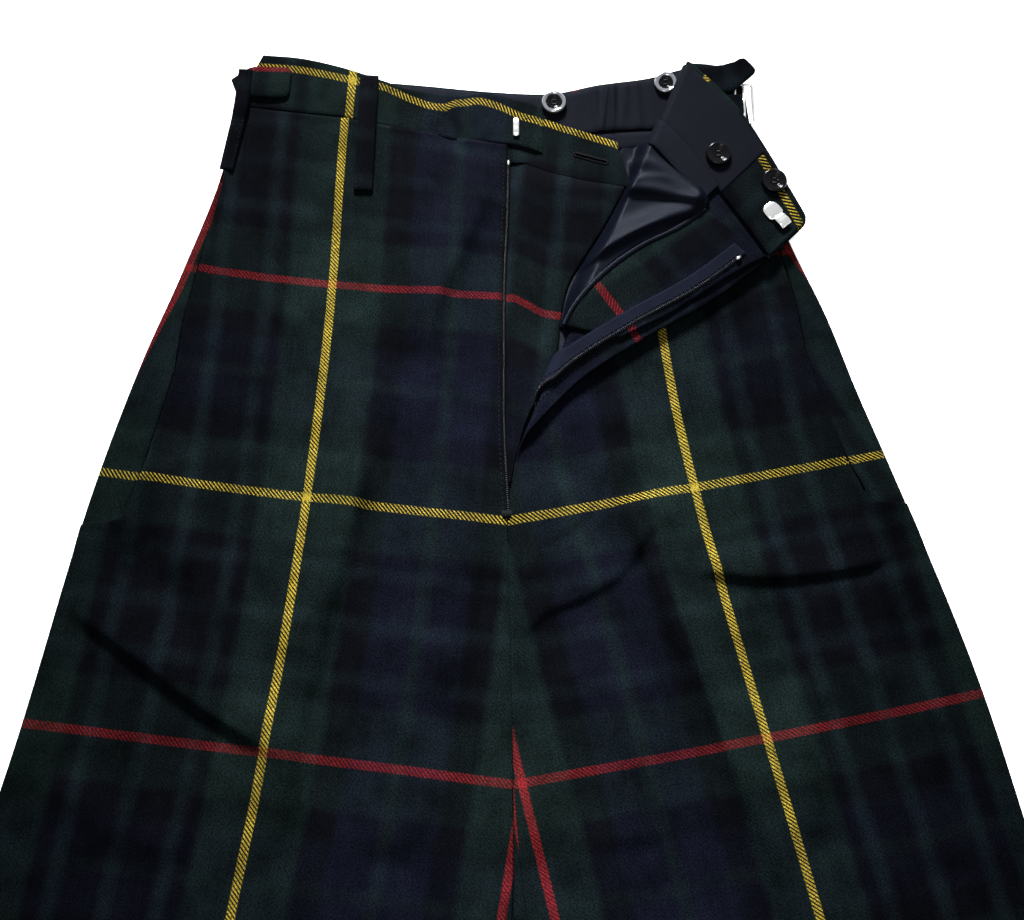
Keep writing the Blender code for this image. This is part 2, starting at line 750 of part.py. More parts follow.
def pocket_bag():
    """Satin bag of the left pocket, where it shows in the open fly."""
    y = np.linspace(BAG_EDGE[0][0], BAG_EDGE[-1][0], 9)[:, None]
    left = read(BAG_EDGE, BAG_COLUMNS, "y", "x", y)
    reach = 0.5 + 0.5 * ease((y - 40) / 60)
    x = left + (BAG_RIGHT_X - left) * np.linspace(0, 1, 5)[None, :] * reach
    y = np.broadcast_to(y, x.shape)
    flat_wall("pocket_bag_left", x, y, LAYER_2, LINING, SATIN, "black_satin")


def pocketing():
    """Satin on the inside of the turned-back front, between its roll and the fly facing."""
    along = np.linspace(POCKETING[0][0], POCKETING[-1][0], 10)
    reach = read(POCKETING, POCKETING_COLUMNS, "along", "reach", along)
    out = POCKETING_INNER + (reach - POCKETING_INNER)[:, None] * np.linspace(0, 1, 5)[None, :]
    along = np.broadcast_to(along[:, None], out.shape)
    low = FLAP_TOP + GAP
    wall(
        "pocketing_left", from_roll(along, out, low), from_roll(along, out, low + LINING),
        SATIN, "black_satin",
    )


def front_top(half, x, y):
    """Height of the upper side of a front or its waistband."""
    seam_y = RIGHT_SEAM_EDGE[1] if half < 0 else LEFT_SEAM_Y
    return front_level(half, x, np.minimum(y, seam_y)) + CLOTH + ON_FACETS


def strip(name, half, path, widths, slack, steps, x_limit, lift):
    """Strap or loop laid along a path over what carries it."""
    path = np.array(path, float)
    lengths = np.concatenate([[0.0], np.cumsum(np.hypot(*np.diff(path, axis=0).T))])
    share = np.linspace(0, 1, steps)
    along = lengths[-1] * share
    x, y = np.interp(along, lengths, path[:, 0]), np.interp(along, lengths, path[:, 1])
    direction = np.stack([np.gradient(x), np.gradient(y)], axis=-1)
    direction /= np.linalg.norm(direction, axis=-1, keepdims=True)
    off = np.interp(along, lengths, widths)[:, None] / 2 * np.array([[-1.0, 0.0, 1.0]])
    xs = x[:, None] - direction[:, 1:] * off
    ys = y[:, None] + direction[:, :1] * off
    over_x = np.maximum(xs, x_limit) if half < 0 else np.minimum(xs, x_limit)
    level = front_top(half, over_x, ys) + GAP + slack * np.sin(math.pi * share)[:, None]
    if lift:
        axis, start, length, height = lift
        level = level + height * ease(((xs, ys)[axis] - start) / length)
    flat_wall(name, xs, ys, level, LOOP, WOOL, "tartan_wool")


def turned(name, x, y, z, profile, finish, finish_name, segments=20):
    """Round piece about an upright axis; its profile runs from the middle of the underside."""
    def build(shape):
        def point(radius, height, turn):
            place = (x + radius * math.cos(turn), y + radius * math.sin(turn), z + height)
            return shape.verts.new(to_world(place))

        low, high = point(*profile[0], 0), point(*profile[-1], 0)
        turns = [2 * math.pi * k / segments for k in range(segments)]
        rings = [[point(radius, height, turn) for turn in turns] for radius, height in profile[1:-1]]
        for k in range(segments):
            n = (k + 1) % segments
            shape.faces.new((low, rings[0][n], rings[0][k]))
            shape.faces.new((high, rings[-1][k], rings[-1][n]))
            for lower, upper in zip(rings, rings[1:]):
                shape.faces.new((lower[k], lower[n], upper[n], upper[k]))

    return add_solid(name, build, finish, finish_name)


def button_profile(radius, height):
    return (
        (0, 0),
        (radius * 0.80, 0),
        (radius, height * 0.35),
        (radius * 0.94, height * 0.85),
        (radius * 0.80, height),
        (radius * 0.55, height * 0.80),
        (radius * 0.45, height * 0.55),
        (0, height * 0.55),
    )


SEATS = {
    "back_lining": ON_LINING + 0.05,
    "back_gathers": ON_LINING + 2 * GATHER_HEIGHT + 0.05,
    "flap_lining": FLAP_TOP + GAP + LINING + GAP,
    "flap_facing": FLAP_TOP + GAP + CLOTH + GAP,
}


def metal_strip(name, start, angle, sections, base):
    """Sheet-metal fitting: sections across it, at distances along it."""
    table = np.array(sections, float)
    across = np.array([[-1.0, 0.0, 1.0]])
    along = np.broadcast_to(table[:, :1], (len(table), 3))
    off = table[:, 1:2] * across
    x = start[0] + along * math.cos(angle) - off * math.sin(angle)
    y = start[1] + along * math.sin(angle) + off * math.cos(angle)
    flat_wall(name, x, y, base + table[:, 2:3] * np.ones((1, 3)), METAL, NICKEL, "nickel")


def buckle():
    """Slide buckle of the left adjuster: a frame with two windows and a bar between them."""
    xs, ys = BUCKLE_X, BUCKLE_Y
    low = POCKET_LEVEL + CLOTH + GAP + ON_FACETS
    high = low + BUCKLE_THICKNESS

    def build(shape):
        grid = [
            [[shape.verts.new(to_world((x, y, z))) for x in xs] for y in ys] for z in (low, high)
        ]

        def solid(row, col):
            inside = 0 <= row < len(ys) - 1 and 0 <= col < len(xs) - 1
            return inside and not (row == 1 and col in BUCKLE_WINDOWS)

        for row in range(len(ys) - 1):
            for col in range(len(xs) - 1):
                if not solid(row, col):
                    continue
                corners = ((row, col), (row, col + 1), (row + 1, col + 1), (row + 1, col))
                shape.faces.new([grid[1][r][c] for r, c in corners])
                shape.faces.new([grid[0][r][c] for r, c in reversed(corners)])
                beside = ((row - 1, col), (row, col + 1), (row + 1, col), (row, col - 1))
                for k, neighbour in enumerate(beside):
                    if not solid(*neighbour):
                        (r0, c0), (r1, c1) = corners[k], corners[(k + 1) % 4]
                        low_edge = (grid[0][r0][c0], grid[0][r1][c1])
                        high_edge = (grid[1][r1][c1], grid[1][r0][c0])
                        shape.faces.new(low_edge + high_edge)

    add_solid("adjuster_buckle_left", build, NICKEL, "nickel", smooth=False)


for old in list(bpy.data.objects):
    bpy.data.objects.remove(old, do_unlink=True)

back_leg("back_right", RIGHT_SECTIONS, -1)
back_leg("back_left", LEFT_SECTIONS, 1)
back_waist()
front_right()
front_left()
waistband_right()
underlap()
waistband_left()
left_band_linings()
fly_shield()
fly_facing()
zips()
pocket_facing("pocket_facing_right", RIGHT_SECTIONS)
pocket_facing("pocket_facing_left", LEFT_SECTIONS)
pocket_bag()
pocketing()
for row in STRIPS:
    strip(*row)
for name, x, y, seat, radius, height in BUTTONS:
    profile = button_profile(radius, height)
    turned(name, x, y, SEATS[seat], profile, BUTTON_BLACK, "black_button")
metal_strip("trouser_hook_left", HOOK_START, HOOK_ANGLE, HOOK_SECTIONS, SEATS["flap_facing"])
metal_strip("hook_bar_right", BAR_START, BAR_ANGLE, BAR_SECTIONS, FLY_LEVEL + CLOTH + GAP)
buckle()
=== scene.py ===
"""Looks of tartan trews that lie flat, front up, with the fly open and its left part folded back.

Right and left are the wearer's. Cloth is laid out in millimetres on a drawing plane whose zero
is near the middle of the fly: x to the wearer's left, y towards the waist, z up from the floor.
"""

import math

import bpy
import numpy as np
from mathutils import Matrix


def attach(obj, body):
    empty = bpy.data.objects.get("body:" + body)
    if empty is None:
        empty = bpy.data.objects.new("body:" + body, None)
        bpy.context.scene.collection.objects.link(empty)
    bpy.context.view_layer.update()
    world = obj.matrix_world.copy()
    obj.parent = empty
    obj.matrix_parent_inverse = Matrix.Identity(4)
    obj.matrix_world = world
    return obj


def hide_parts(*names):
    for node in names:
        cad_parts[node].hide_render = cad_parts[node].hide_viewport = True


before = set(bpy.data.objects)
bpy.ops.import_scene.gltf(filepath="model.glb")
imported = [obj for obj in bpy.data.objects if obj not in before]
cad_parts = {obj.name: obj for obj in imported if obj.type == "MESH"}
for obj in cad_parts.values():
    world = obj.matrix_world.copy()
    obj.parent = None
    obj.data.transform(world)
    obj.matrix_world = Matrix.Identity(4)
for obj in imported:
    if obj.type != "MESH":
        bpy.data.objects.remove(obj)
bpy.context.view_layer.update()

# Floor, light and camera
# A plain pale floor under an even sky, with a soft beam from beyond the waist, low enough
# to shade the creases, and a weak lamp overhead. The camera is tipped towards the waist.
MM = 0.001
FRAME_CENTRE = (27.5, -254.0)
CLOTH_FACE = 6.0
CAMERA_LENS = 49.2
CAMERA_SENSOR = 36.0
CAMERA_TILT = math.radians(16.0)
CAMERA_AWAY = 834.3
SKY_FILL = 0.17
SKY_IN_METAL = 0.75
SKY_COLOUR = (0.95, 0.97, 1.0, 1.0)
FLOOR_HALF = 6.0
FLOOR_Z = -0.0002
FLOOR_GLOW = 0.8
LIGHTS = (
    ("window_light", (-0.18, 1.75, 0.85), (-0.02, 0.20, 0.0), 0.45, 3.9, 23),
    ("room_light", (-0.03, 0.14, 0.80), (-0.03, 0.14, 0.0), 0.3, 1.8, 180),
)


def to_world(points):
    """Metres in the frame for points in millimetres on the drawing plane."""
    return (np.asarray(points, float) - np.array([*FRAME_CENTRE, 0.0])) * MM


def linked(name, data):
    """New object in the scene."""
    made = bpy.data.objects.new(name, data)
    bpy.context.scene.collection.objects.link(made)
    return made


def feed(tree, made, sockets):
    """Sets inputs of a node, each to a value or to the output that feeds it."""
    for key, value in sockets.items():
        if isinstance(value, bpy.types.NodeSocket):
            tree.links.new(value, made.inputs[key])
        else:
            made.inputs[key].default_value = value


def node(tree, kind, sockets=None, **properties):
    made = tree.nodes.new(kind)
    for key, value in properties.items():
        setattr(made, key, value)
    feed(tree, made, sockets or {})
    return made


def maths(tree, operation, *values):
    """Result of a math node whose inputs are outputs of other nodes or plain numbers."""
    return node(tree, "ShaderNodeMath", dict(enumerate(values)), operation=operation).outputs[0]


def new_finish(name, roughness, colour=(0.5, 0.5, 0.5), specular=0.5):
    """Material with its node tree and shader, which the section that uses it may add to."""
    made = bpy.data.materials.new(name)
    made.use_nodes = True
    tree = made.node_tree
    shader = tree.nodes["Principled BSDF"]
    basics = {
        "Base Color": (*colour, 1.0), "Roughness": roughness, "Specular IOR Level": specular,
    }
    feed(tree, shader, basics)
    return made, tree, shader


camera = linked("camera", bpy.data.cameras.new("camera"))
camera.data.lens = CAMERA_LENS
camera.data.sensor_width = CAMERA_SENSOR
camera.data.clip_start = 0.01
camera.rotation_euler = (CAMERA_TILT, 0.0, 0.0)
camera_back = np.array([0.0, -math.sin(CAMERA_TILT), math.cos(CAMERA_TILT)]) * CAMERA_AWAY
camera.location = to_world(np.array([0.0, 0.0, CLOTH_FACE]) + camera_back)
bpy.context.scene.camera = camera

sky = bpy.data.worlds.new("sky")
sky.use_nodes = True
sky_ray = node(sky.node_tree, "ShaderNodeLightPath")
sky_strength = node(
    sky.node_tree, "ShaderNodeMapRange",
    {"Value": sky_ray.outputs["Is Glossy Ray"], "To Min": SKY_FILL, "To Max": SKY_IN_METAL},
)
feed(
    sky.node_tree, sky.node_tree.nodes["Background"],
    {"Color": SKY_COLOUR, "Strength": sky_strength.outputs[0]},
)
bpy.context.scene.world = sky
bpy.context.scene.view_settings.view_transform = "Standard"

for name, place, aim, size, power, spread in LIGHTS:
    lamp = linked(name, bpy.data.lights.new(name, "AREA"))
    lamp.data.shape = "DISK"
    lamp.data.size = size
    lamp.data.energy = power
    lamp.data.spread = math.radians(spread)
    lamp.location = place
    toward = np.array(aim) - np.array(place)
    lamp.rotation_euler = (
        math.atan2(math.hypot(toward[0], toward[1]), -toward[2]),
        0.0,
        math.atan2(toward[0], -toward[1]) + math.pi,
    )

floor_mesh = bpy.data.meshes.new("floor")
floor_corners = [
    (FLOOR_HALF * across, FLOOR_HALF * along, FLOOR_Z)
    for across, along in ((-1, -1), (1, -1), (1, 1), (-1, 1))
]
floor_mesh.from_pydata(floor_corners, [], [(0, 1, 2, 3)])
floor = linked("floor", floor_mesh)
floor_finish, floor_tree, floor_shader = new_finish("floor", 0.9, (0.93, 0.93, 0.93))
floor_glow = {"Emission Color": (1.0, 1.0, 1.0, 1.0), "Emission Strength": FLOOR_GLOW}
feed(floor_tree, floor_shader, floor_glow)
floor_mesh.materials.append(floor_finish)

# Back legs
# Two panels of heavy tartan wool, the same in outline as the fronts, which lie on the floor
# with their undersides flat and are sewn to the fronts at the side and inside-leg seams.
CLOTH = 1.5
LINING = 1.0
GAP = 0.3
LAYER_2 = CLOTH + GAP
ON_LINING = LAYER_2 + LINING + GAP
POCKET_LEVEL = LAYER_2 + CLOTH + GAP
FLY_LEVEL = POCKET_LEVEL + LINING + GAP
SECTION_COLUMNS = ("down", "side_x", "side_y", "crease_x", "crease_y", "inner_x", "inner_y")
RIGHT_SECTIONS = (
    (32, -179, 238, -107, 228, -3, 209),
    (80, -184, 193, -109, 180, -4, 162),
    (146, -204, 126, -111, 113, -6, 105),
    (219, -226, 63, -115, 48, -6, 35),
    (292, -246, -6, -121, -23, -3, -37),
    (438, -278, -154, -139, -171, 0.4, -188),
    (530, -298, -246, -154, -262, -2, -281),
    (700, -303, -415, -176, -432, -49, -449),
    (1040, -321, -757, -214, -770, -107, -783),
)
LEFT_SECTIONS = (
    (32, 153, 220, 88, 221, -20, 202),
    (80, 163, 178, 87, 178, -15, 160),
    (146, 176, 137, 88, 121, -2, 107),
    (200, 194, 92, 93, 72, 6, 57),
    (250, 210, 42, 100, 25, 3.5, 10),
    (292, 223, 5, 108, -17, -2.4, -37),
    (438, 269, -137, 143, -163, 1, -188),
    (530, 290, -227, 165, -252, 12, -281),
    (700, 327, -392, 202, -419, 77, -446),
    (1040, 376, -730, 270, -752, 164, -774),
)
SEAM_DOWN = 32.0
HEM_DOWN = 1040.0
KNEE_DOWN = 560.0
# Seam between the two halves: y and x
CENTRE_SEAM = ((-300, 1.0), (-188, 0.7), (-37, -2.7), (-18, -3.0), (100, -3.0), (280, -3.0))
FORK_Y = -263.0
BAND_COLUMNS = ("x", "top", "seam")
BAND_BACK = (
    (-179, 272, 236),
    (-105, 259, 226),
    (-55, 254, 216),
    (-17, 250, 213),
    (21, 248, 213),
    (57, 255, 218),
    (90, 260, 220),
    (117, 267, 221),
    (154, 262, 220),
)
BACK_SEAM_GAP = 0.45
EDGE_INSET = 0.6
EDGE_THINNING = 0.35
SEWN_THINNING = 0.9
BACK_ROWS = np.concatenate(
    [[SEAM_DOWN], np.linspace(SEAM_DOWN + 2, KNEE_DOWN, 110), np.linspace(KNEE_DOWN, HEM_DOWN, 70)[1:]]
)


def column(table, names, wanted):
    """One named column of a table."""
    index = names.index(wanted)
    return np.array([row[index] for row in table], float)


def curve(knots, values, at):
    """Smooth value at each station, by a curve that stays between the table's rows."""
    at = np.clip(np.asarray(at, float), knots[0], knots[-1])
    spans = np.diff(knots)
    slopes = np.diff(values) / spans
    tangents = np.empty_like(values)
    tangents[0], tangents[-1] = slopes[0], slopes[-1]
    inner = (slopes[:-1] * spans[1:] + slopes[1:] * spans[:-1]) / (spans[:-1] + spans[1:])
    tangents[1:-1] = np.where(slopes[:-1] * slopes[1:] > 0, inner, 0.0)
    left = np.clip(np.searchsorted(knots, at, side="right") - 1, 0, len(knots) - 2)
    span = spans[left]
    f = (at - knots[left]) / span
    return (
        (2 * f**3 - 3 * f**2 + 1) * values[left]
        + (f**3 - 2 * f**2 + f) * span * tangents[left]
        + (3 * f**2 - 2 * f**3) * values[left + 1]
        + (f**3 - f**2) * span * tangents[left + 1]
    )


def read(table, names, wanted, at):
    """Smooth value of one column at each station of the first column."""
    return curve(column(table, names, names[0]), column(table, names, wanted), at)


def profile(table, at):
    """Smooth value from a table of two columns."""
    return curve(*np.array(table, float).T, at)


def ease(value):
    value = np.clip(value, 0.0, 1.0)
    return value * value * (3 - 2 * value)


def centre_x(y):
    return profile(CENTRE_SEAM, y)


def front_place(sections, down, across):
    """Point of a leg on the plane: across is -1 at the side, 0 at the crease, 1 inside."""
    def at(name):
        return read(sections, SECTION_COLUMNS, name, down)

    def bow(axis):
        side, crease, inner = at("side_" + axis), at("crease_" + axis), at("inner_" + axis)
        return crease + (inner - side) / 2 * across + ((inner + side) / 2 - crease) * across**2

    return bow("x"), bow("y")


def edged(steps, length):
    """Stations from 0 to 1 with one more close to each end, for a rounded cloth edge."""
    inset = EDGE_INSET / length
    return np.concatenate([[0.0], np.linspace(inset, 1 - inset, steps), [1.0]])


def travel(x, y):
    """Distance along a path, or along each row of a grid, up to each of its points."""
    steps = np.cumsum(np.hypot(np.diff(x), np.diff(y)), axis=-1)
    return np.concatenate([np.zeros((*np.shape(x)[:-1], 1)), steps], axis=-1)


def from_crease(x, y, across):
    """Distance along each row from the crease, negative on the side of the side seam."""
    length = travel(x, y)
    at_crease = np.array([np.interp(0.0, a, row) for a, row in zip(across, length)])
    return length - at_crease[:, None]


def thinned(under, over, sewn):
    """The two faces of a wall, brought together at its border, as a folded edge is.

    sewn names the row, first or last, that stays thick because it is sewn to a neighbour.
    """
    keep = np.ones(under.shape[:2])
    keep[0, :] = keep[-1, :] = keep[:, 0] = keep[:, -1] = EDGE_THINNING
    if sewn:
        keep[{"first": 0, "last": -1}[sewn], :] = SEWN_THINNING
    middle = (under + over) / 2
    return middle + (under - middle) * keep[..., None], middle + (over - middle) * keep[..., None]


def wall(name, under, over, finish, weave, chart=None, sewn=None):
    """Closed cloth wall between two grids of points.

    weave gives each point's place along the weft and down the warp, and chart its place in the
    sett, both in millimetres; they become the UV maps that the cloth's finish reads.
    """
    rows, columns = under.shape[:2]
    low, high = thinned(under, over, sewn)
    count = rows * columns
    index = np.arange(count).reshape(rows, columns)
    quads = np.stack([index[:-1, :-1], index[:-1, 1:], index[1:, 1:], index[1:, :-1]], axis=-1)
    quads = quads.reshape(-1, 4)
    across, along = high[0, 1] - high[0, 0], high[1, 0] - high[0, 0]
    if np.dot(np.cross(across, along), high[0, 0] - low[0, 0]) < 0:
        quads = quads[:, ::-1]
    upper, lower = quads + count, quads[:, ::-1]
    ring = np.concatenate([index[0, :-1], index[:-1, -1], index[-1, :0:-1], index[:0:-1, 0]])
    after = np.roll(ring, -1)
    rim = np.stack([ring, after, after + count, ring + count], axis=-1)
    start, step = ring[0], after[0]
    place = np.where((upper == start + count).any(axis=1) & (upper == step + count).any(axis=1))[0][0]
    corners = upper[place].tolist()
    if corners[(corners.index(start + count) + 1) % 4] != step + count:
        rim = rim[:, ::-1]
    faces = np.concatenate([upper, lower, rim])
    mesh = bpy.data.meshes.new(name)
    mesh.vertices.add(2 * count)
    points = to_world(np.concatenate([low.reshape(-1, 3), high.reshape(-1, 3)]))
    mesh.vertices.foreach_set("co", points.astype(np.float32).ravel())
    mesh.loops.add(faces.size)
    mesh.loops.foreach_set("vertex_index", faces.astype(np.int32).ravel())
    mesh.polygons.add(len(faces))
    mesh.polygons.foreach_set("loop_start", np.arange(0, faces.size, 4, dtype=np.int32))
    mesh.update(calc_edges=True)
    for layer_name, places in (("weave", weave), ("chart", chart)):
        if places is None:
            continue
        flat = np.stack([np.broadcast_to(p, (rows, columns)) for p in places], axis=-1)
        flat = np.tile(flat.reshape(-1, 2), (2, 1))[faces.ravel()]
        layer = mesh.uv_layers.new(name=layer_name)
        layer.data.foreach_set("uv", flat.astype(np.float32).ravel())
    mesh.shade_smooth()
    mesh.materials.append(finish)
    mesh.validate()
    return linked(name, mesh)


def upright(x, y, low, thickness):
    """The two faces of a wall that keeps its thickness upright."""
    low = np.broadcast_to(low, np.shape(x))
    return np.stack([x, y, low], axis=-1), np.stack([x, y, low + thickness], axis=-1)


def fixed(piece, cad_node=None):
    """Fixes a piece to the frame, in place of its solid if it has one."""
    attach(piece, "root")
    if cad_node:
        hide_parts(cad_node)


def cloth(name, finish, faces, weave, chart=None, sewn=None):
    """Cloth wall between two faces, in place of the solid of this name, with its cut stated."""
    piece = wall(name + "_cloth", *faces, finish, weave, chart, sewn)
    fixed(piece, name)


# The tartan's threads from one yellow line to the next, as yarn and number of threads; the
# lines at both ends are halves of the same yellow line
TWILL_REPEAT = 2.52
THREAD = TWILL_REPEAT / 4
YARNS = {
    "yellow": (0.225, 0.168, 0.021),
    "red": (0.112, 0.0090, 0.0105),
    "green": (0.0035, 0.0069, 0.0066),
    "line_green": (0.0032, 0.0056, 0.0074),
    "blue": (0.0023, 0.0028, 0.0062),
    "black": (0.0012, 0.0014, 0.0023),
}
SETT = (
    ("yellow", 4),
    ("green", 40),
    ("black", 14),
    ("line_green", 12),
    ("black", 34),
    ("line_green", 13),
    ("black", 36),
    ("line_green", 13),
    ("black", 17),
    ("green", 45),
    ("red", 8),
    ("green", 38),
    ("black", 27),
    ("blue", 37),
    ("line_green", 12),
    ("blue", 39),
    ("black", 27),
    ("green", 44),
    ("yellow", 4),
)
LINES = ("yellow", "red")
SETT_THREADS = sum(threads for _, threads in SETT)
NAP_BLUR = 4.5
WARP_SHARE = 0.64
LINE_EDGE = 0.25
WARP_RISES = (0.24, 0.58)
YARN_STRAY = 1.3
GROUND_SMUDGE = 3.0
LINE_REDNESS = (0.05, 0.22)
GROUND_CLEAR = 0.2
FIBRE_TONE = 4.2
PATCH_TONE = 2.0
STREAK_TONE = 0.45
# Strength of the painted shade in the twill's furrows, where warp and weft meet
FURROW_SHADE = -2.4


def mixed(tree, first, second, share, blend="MIX"):
    sockets = {"A": first, "B": second, "Factor": share}
    mix = node(tree, "ShaderNodeMix", sockets, data_type="RGBA", blend_type=blend)
    return mix.outputs["Result"]


def smooth_step(tree, value, low, high):
    sockets = {"Value": value, "From Min": low, "From Max": high}
    step = node(tree, "ShaderNodeMapRange", sockets, interpolation_type="SMOOTHSTEP")
    return step.outputs[0]


def bumped(tree, height, strength, distance):
    """Normal that a height gives as fine relief."""
    sockets = {"Height": height, "Strength": strength, "Distance": distance}
    return node(tree, "ShaderNodeBump", sockets).outputs[0]


def sett_group():
    """Colour of the yarn at a place in the sett, in millimetres.

    The nap blurs the dark grounds into each other and is added to their place as Shift, while
    the lines stay sharp.
    """
    tree = bpy.data.node_groups.new("Sett", "ShaderNodeTree")
    for socket in ("Place", "Shift"):
        tree.interface.new_socket(socket, in_out="INPUT", socket_type="NodeSocketFloat")
    tree.interface.new_socket("Colour", in_out="OUTPUT", socket_type="NodeSocketColor")
    inside, outside = node(tree, "NodeGroupInput"), node(tree, "NodeGroupOutput")
    place = inside.outputs["Place"]
    length = SETT_THREADS * THREAD

    grounds = []
    passed = 0
    for yarn, threads in SETT:
        if yarn in LINES:
            yarn = "green"
        if grounds and grounds[-1][0] == yarn:
            grounds[-1][2] += threads
        else:
            grounds.append([yarn, passed, passed + threads])
        passed += threads
    blur = NAP_BLUR / 2 / length
    edges = [
        (min(max(edge / SETT_THREADS + sign * blur, 0.0), 1.0), yarn)
        for yarn, start, end in grounds
        for edge, sign in ((start, 1), (end, -1))
    ]
    ramp = node(tree, "ShaderNodeValToRGB")
    stops = ramp.color_ramp.elements
    while len(stops) < len(edges):
        stops.new(0.5)
    for stop, (position, yarn) in zip(stops, edges):
        stop.position = position
        stop.color = (*YARNS[yarn], 1.0)
    shifted = maths(tree, "ADD", place, inside.outputs["Shift"])
    feed(tree, ramp, {0: maths(tree, "FRACT", maths(tree, "DIVIDE", shifted, length))})
    colour = ramp.outputs["Color"]

    passed = 0
    for yarn, threads in SETT[:-1]:
        if yarn in LINES:
            middle = 0.0 if passed == 0 else (passed + threads / 2) * THREAD
            half_width = threads * THREAD * (1.0 if passed == 0 else 0.5)
            off = maths(tree, "SUBTRACT", place, middle)
            off = maths(tree, "ABSOLUTE", maths(tree, "WRAP", off, length / 2, -length / 2))
            line = smooth_step(tree, off, half_width + LINE_EDGE, half_width - LINE_EDGE)
            colour = mixed(tree, colour, (*YARNS[yarn], 1.0), line)
        passed += threads
    tree.links.new(colour, outside.inputs["Colour"])
    return tree


def tartan_finish():
    """Twill of the sett in both directions, under a nap that hides it in the dark grounds."""
    made, tree, shader = new_finish("tartan_wool", 0.88, specular=0.012)
    sett = sett_group()
    chart = node(tree, "ShaderNodeUVMap", uv_map="chart").outputs[0]
    weave = node(tree, "ShaderNodeUVMap", uv_map="weave").outputs[0]
    places = node(tree, "ShaderNodeSeparateXYZ", {0: chart}).outputs
    threads = node(tree, "ShaderNodeSeparateXYZ", {0: weave}).outputs

    def noise(scale, detail, roughness, along_warp=1.0):
        spread = node(tree, "ShaderNodeMapping", {"Vector": weave, "Scale": (1.0, along_warp, 1.0)})
        sockets = {
            "Vector": spread.outputs[0], "Scale": scale, "Detail": detail, "Roughness": roughness,
        }
        texture = node(tree, "ShaderNodeTexNoise", sockets, noise_dimensions="2D")
        return maths(tree, "SUBTRACT", texture.outputs[0], 0.5)

    stray = maths(tree, "MULTIPLY", noise(1.6, 2.0, 0.5), YARN_STRAY)
    smudge = maths(tree, "MULTIPLY", noise(0.12, 3.0, 0.5), GROUND_SMUDGE)
    yarns = []
    for axis in "XY":
        sockets = {"Place": maths(tree, "ADD", places[axis], stray), "Shift": smudge}
        yarns.append(node(tree, "ShaderNodeGroup", sockets, node_tree=sett).outputs["Colour"])
    warp, weft = yarns

    diagonal = maths(tree, "SUBTRACT", threads["X"], threads["Y"])
    phase = maths(tree, "FRACT", maths(tree, "DIVIDE", diagonal, TWILL_REPEAT))
    rib = maths(tree, "MULTIPLY", maths(tree, "ABSOLUTE", maths(tree, "SUBTRACT", phase, 0.5)), 2.0)
    warp_up = smooth_step(tree, rib, *WARP_RISES)
    redness = [node(tree, "ShaderNodeSeparateColor", {0: yarn}).outputs[0] for yarn in yarns]
    sockets = {
        "Value": maths(tree, "MAXIMUM", *redness), "From Min": LINE_REDNESS[0],
        "From Max": LINE_REDNESS[1], "To Min": GROUND_CLEAR,
    }
    clear = node(tree, "ShaderNodeMapRange", sockets).outputs[0]
    napped = mixed(tree, weft, warp, WARP_SHARE)
    woven = mixed(tree, weft, warp, warp_up)
    colour = mixed(tree, napped, woven, clear)

    fibre = noise(0.9, 5.0, 0.75)
    slow = maths(tree, "MULTIPLY_ADD", noise(0.55, 3.0, 0.6, 0.05), STREAK_TONE, 1.0)
    slow = maths(tree, "MULTIPLY_ADD", noise(0.035, 5.0, 0.6), PATCH_TONE, slow)
    # Painted shade: the tone darkens in the furrows between warp and weft, where the twill shows
    between = maths(tree, "MULTIPLY", warp_up, maths(tree, "SUBTRACT", 1.0, warp_up))
    furrow_shade = maths(tree, "MULTIPLY_ADD", maths(tree, "MULTIPLY", between, clear), FURROW_SHADE, 1.0)
    tone = maths(tree, "MULTIPLY_ADD", fibre, FIBRE_TONE, 1.0)
    tone = maths(tree, "MULTIPLY", tone, maths(tree, "MULTIPLY", slow, furrow_shade))
    grey = node(tree, "ShaderNodeCombineColor", {0: tone, 1: tone, 2: tone}).outputs[0]
    height = maths(tree, "MULTIPLY_ADD", fibre, 1.8, maths(tree, "MULTIPLY", rib, 0.5))
    sockets = {
        "Base Color": mixed(tree, colour, grey, 1.0, "MULTIPLY"),
        "Normal": bumped(tree, height, 0.3, 0.0004),
        "Sheen Weight": 0.005,
        "Sheen Roughness": 0.5,
        "Sheen Tint": (0.55, 0.62, 0.72, 1.0),
    }
    feed(tree, shader, sockets)
    return made


tartan = tartan_finish()


def back_leg(name, sections, half):
    share = edged(44, 250.0)
    xs, ys = [], []
    for down in BACK_ROWS:
        x, y = front_place(sections, down, 2 * share - 1)
        if y[-1] > FORK_Y:
            x = x + share * (centre_x(y)[-1] - x[-1])
        if down == SEAM_DOWN:
            y = read(BAND_BACK, BAND_COLUMNS, "seam", x) - BACK_SEAM_GAP
        xs.append(x)
        ys.append(y)
    x, y, down = np.array(xs), np.array(ys), BACK_ROWS[:, None]
    off = from_crease(x, y, np.broadcast_to(2 * share - 1, x.shape))
    cloth(
        name, tartan, upright(x, y, 0.0, CLOTH), (-half * off, down),
        (-off, down),
    )


back_leg("back_right", RIGHT_SECTIONS, -1)
back_leg("back_left", LEFT_SECTIONS, 1)

# Back waistband
# A band of the wool, faced inside with a charcoal lining that an elastic gathers at the left,
# with a curtain of the same lining sewn along its lower edge.
BAND_RIGHT_END = (-162.0, -179.5)
BAND_LEFT_END = (148.0, 153.0)
BAND_STEPS = 120
BACK_LINE_DOWN = 9.5
CREASE_AT_WAIST = -105.0
LINING_BACK_X, LINING_BACK_LENGTH = -158.0, 302.0
CURTAIN_BACK_X, CURTAIN_BACK_LENGTH = -140.0, 284.0
CURTAIN_BACK_DEPTH = 11.0
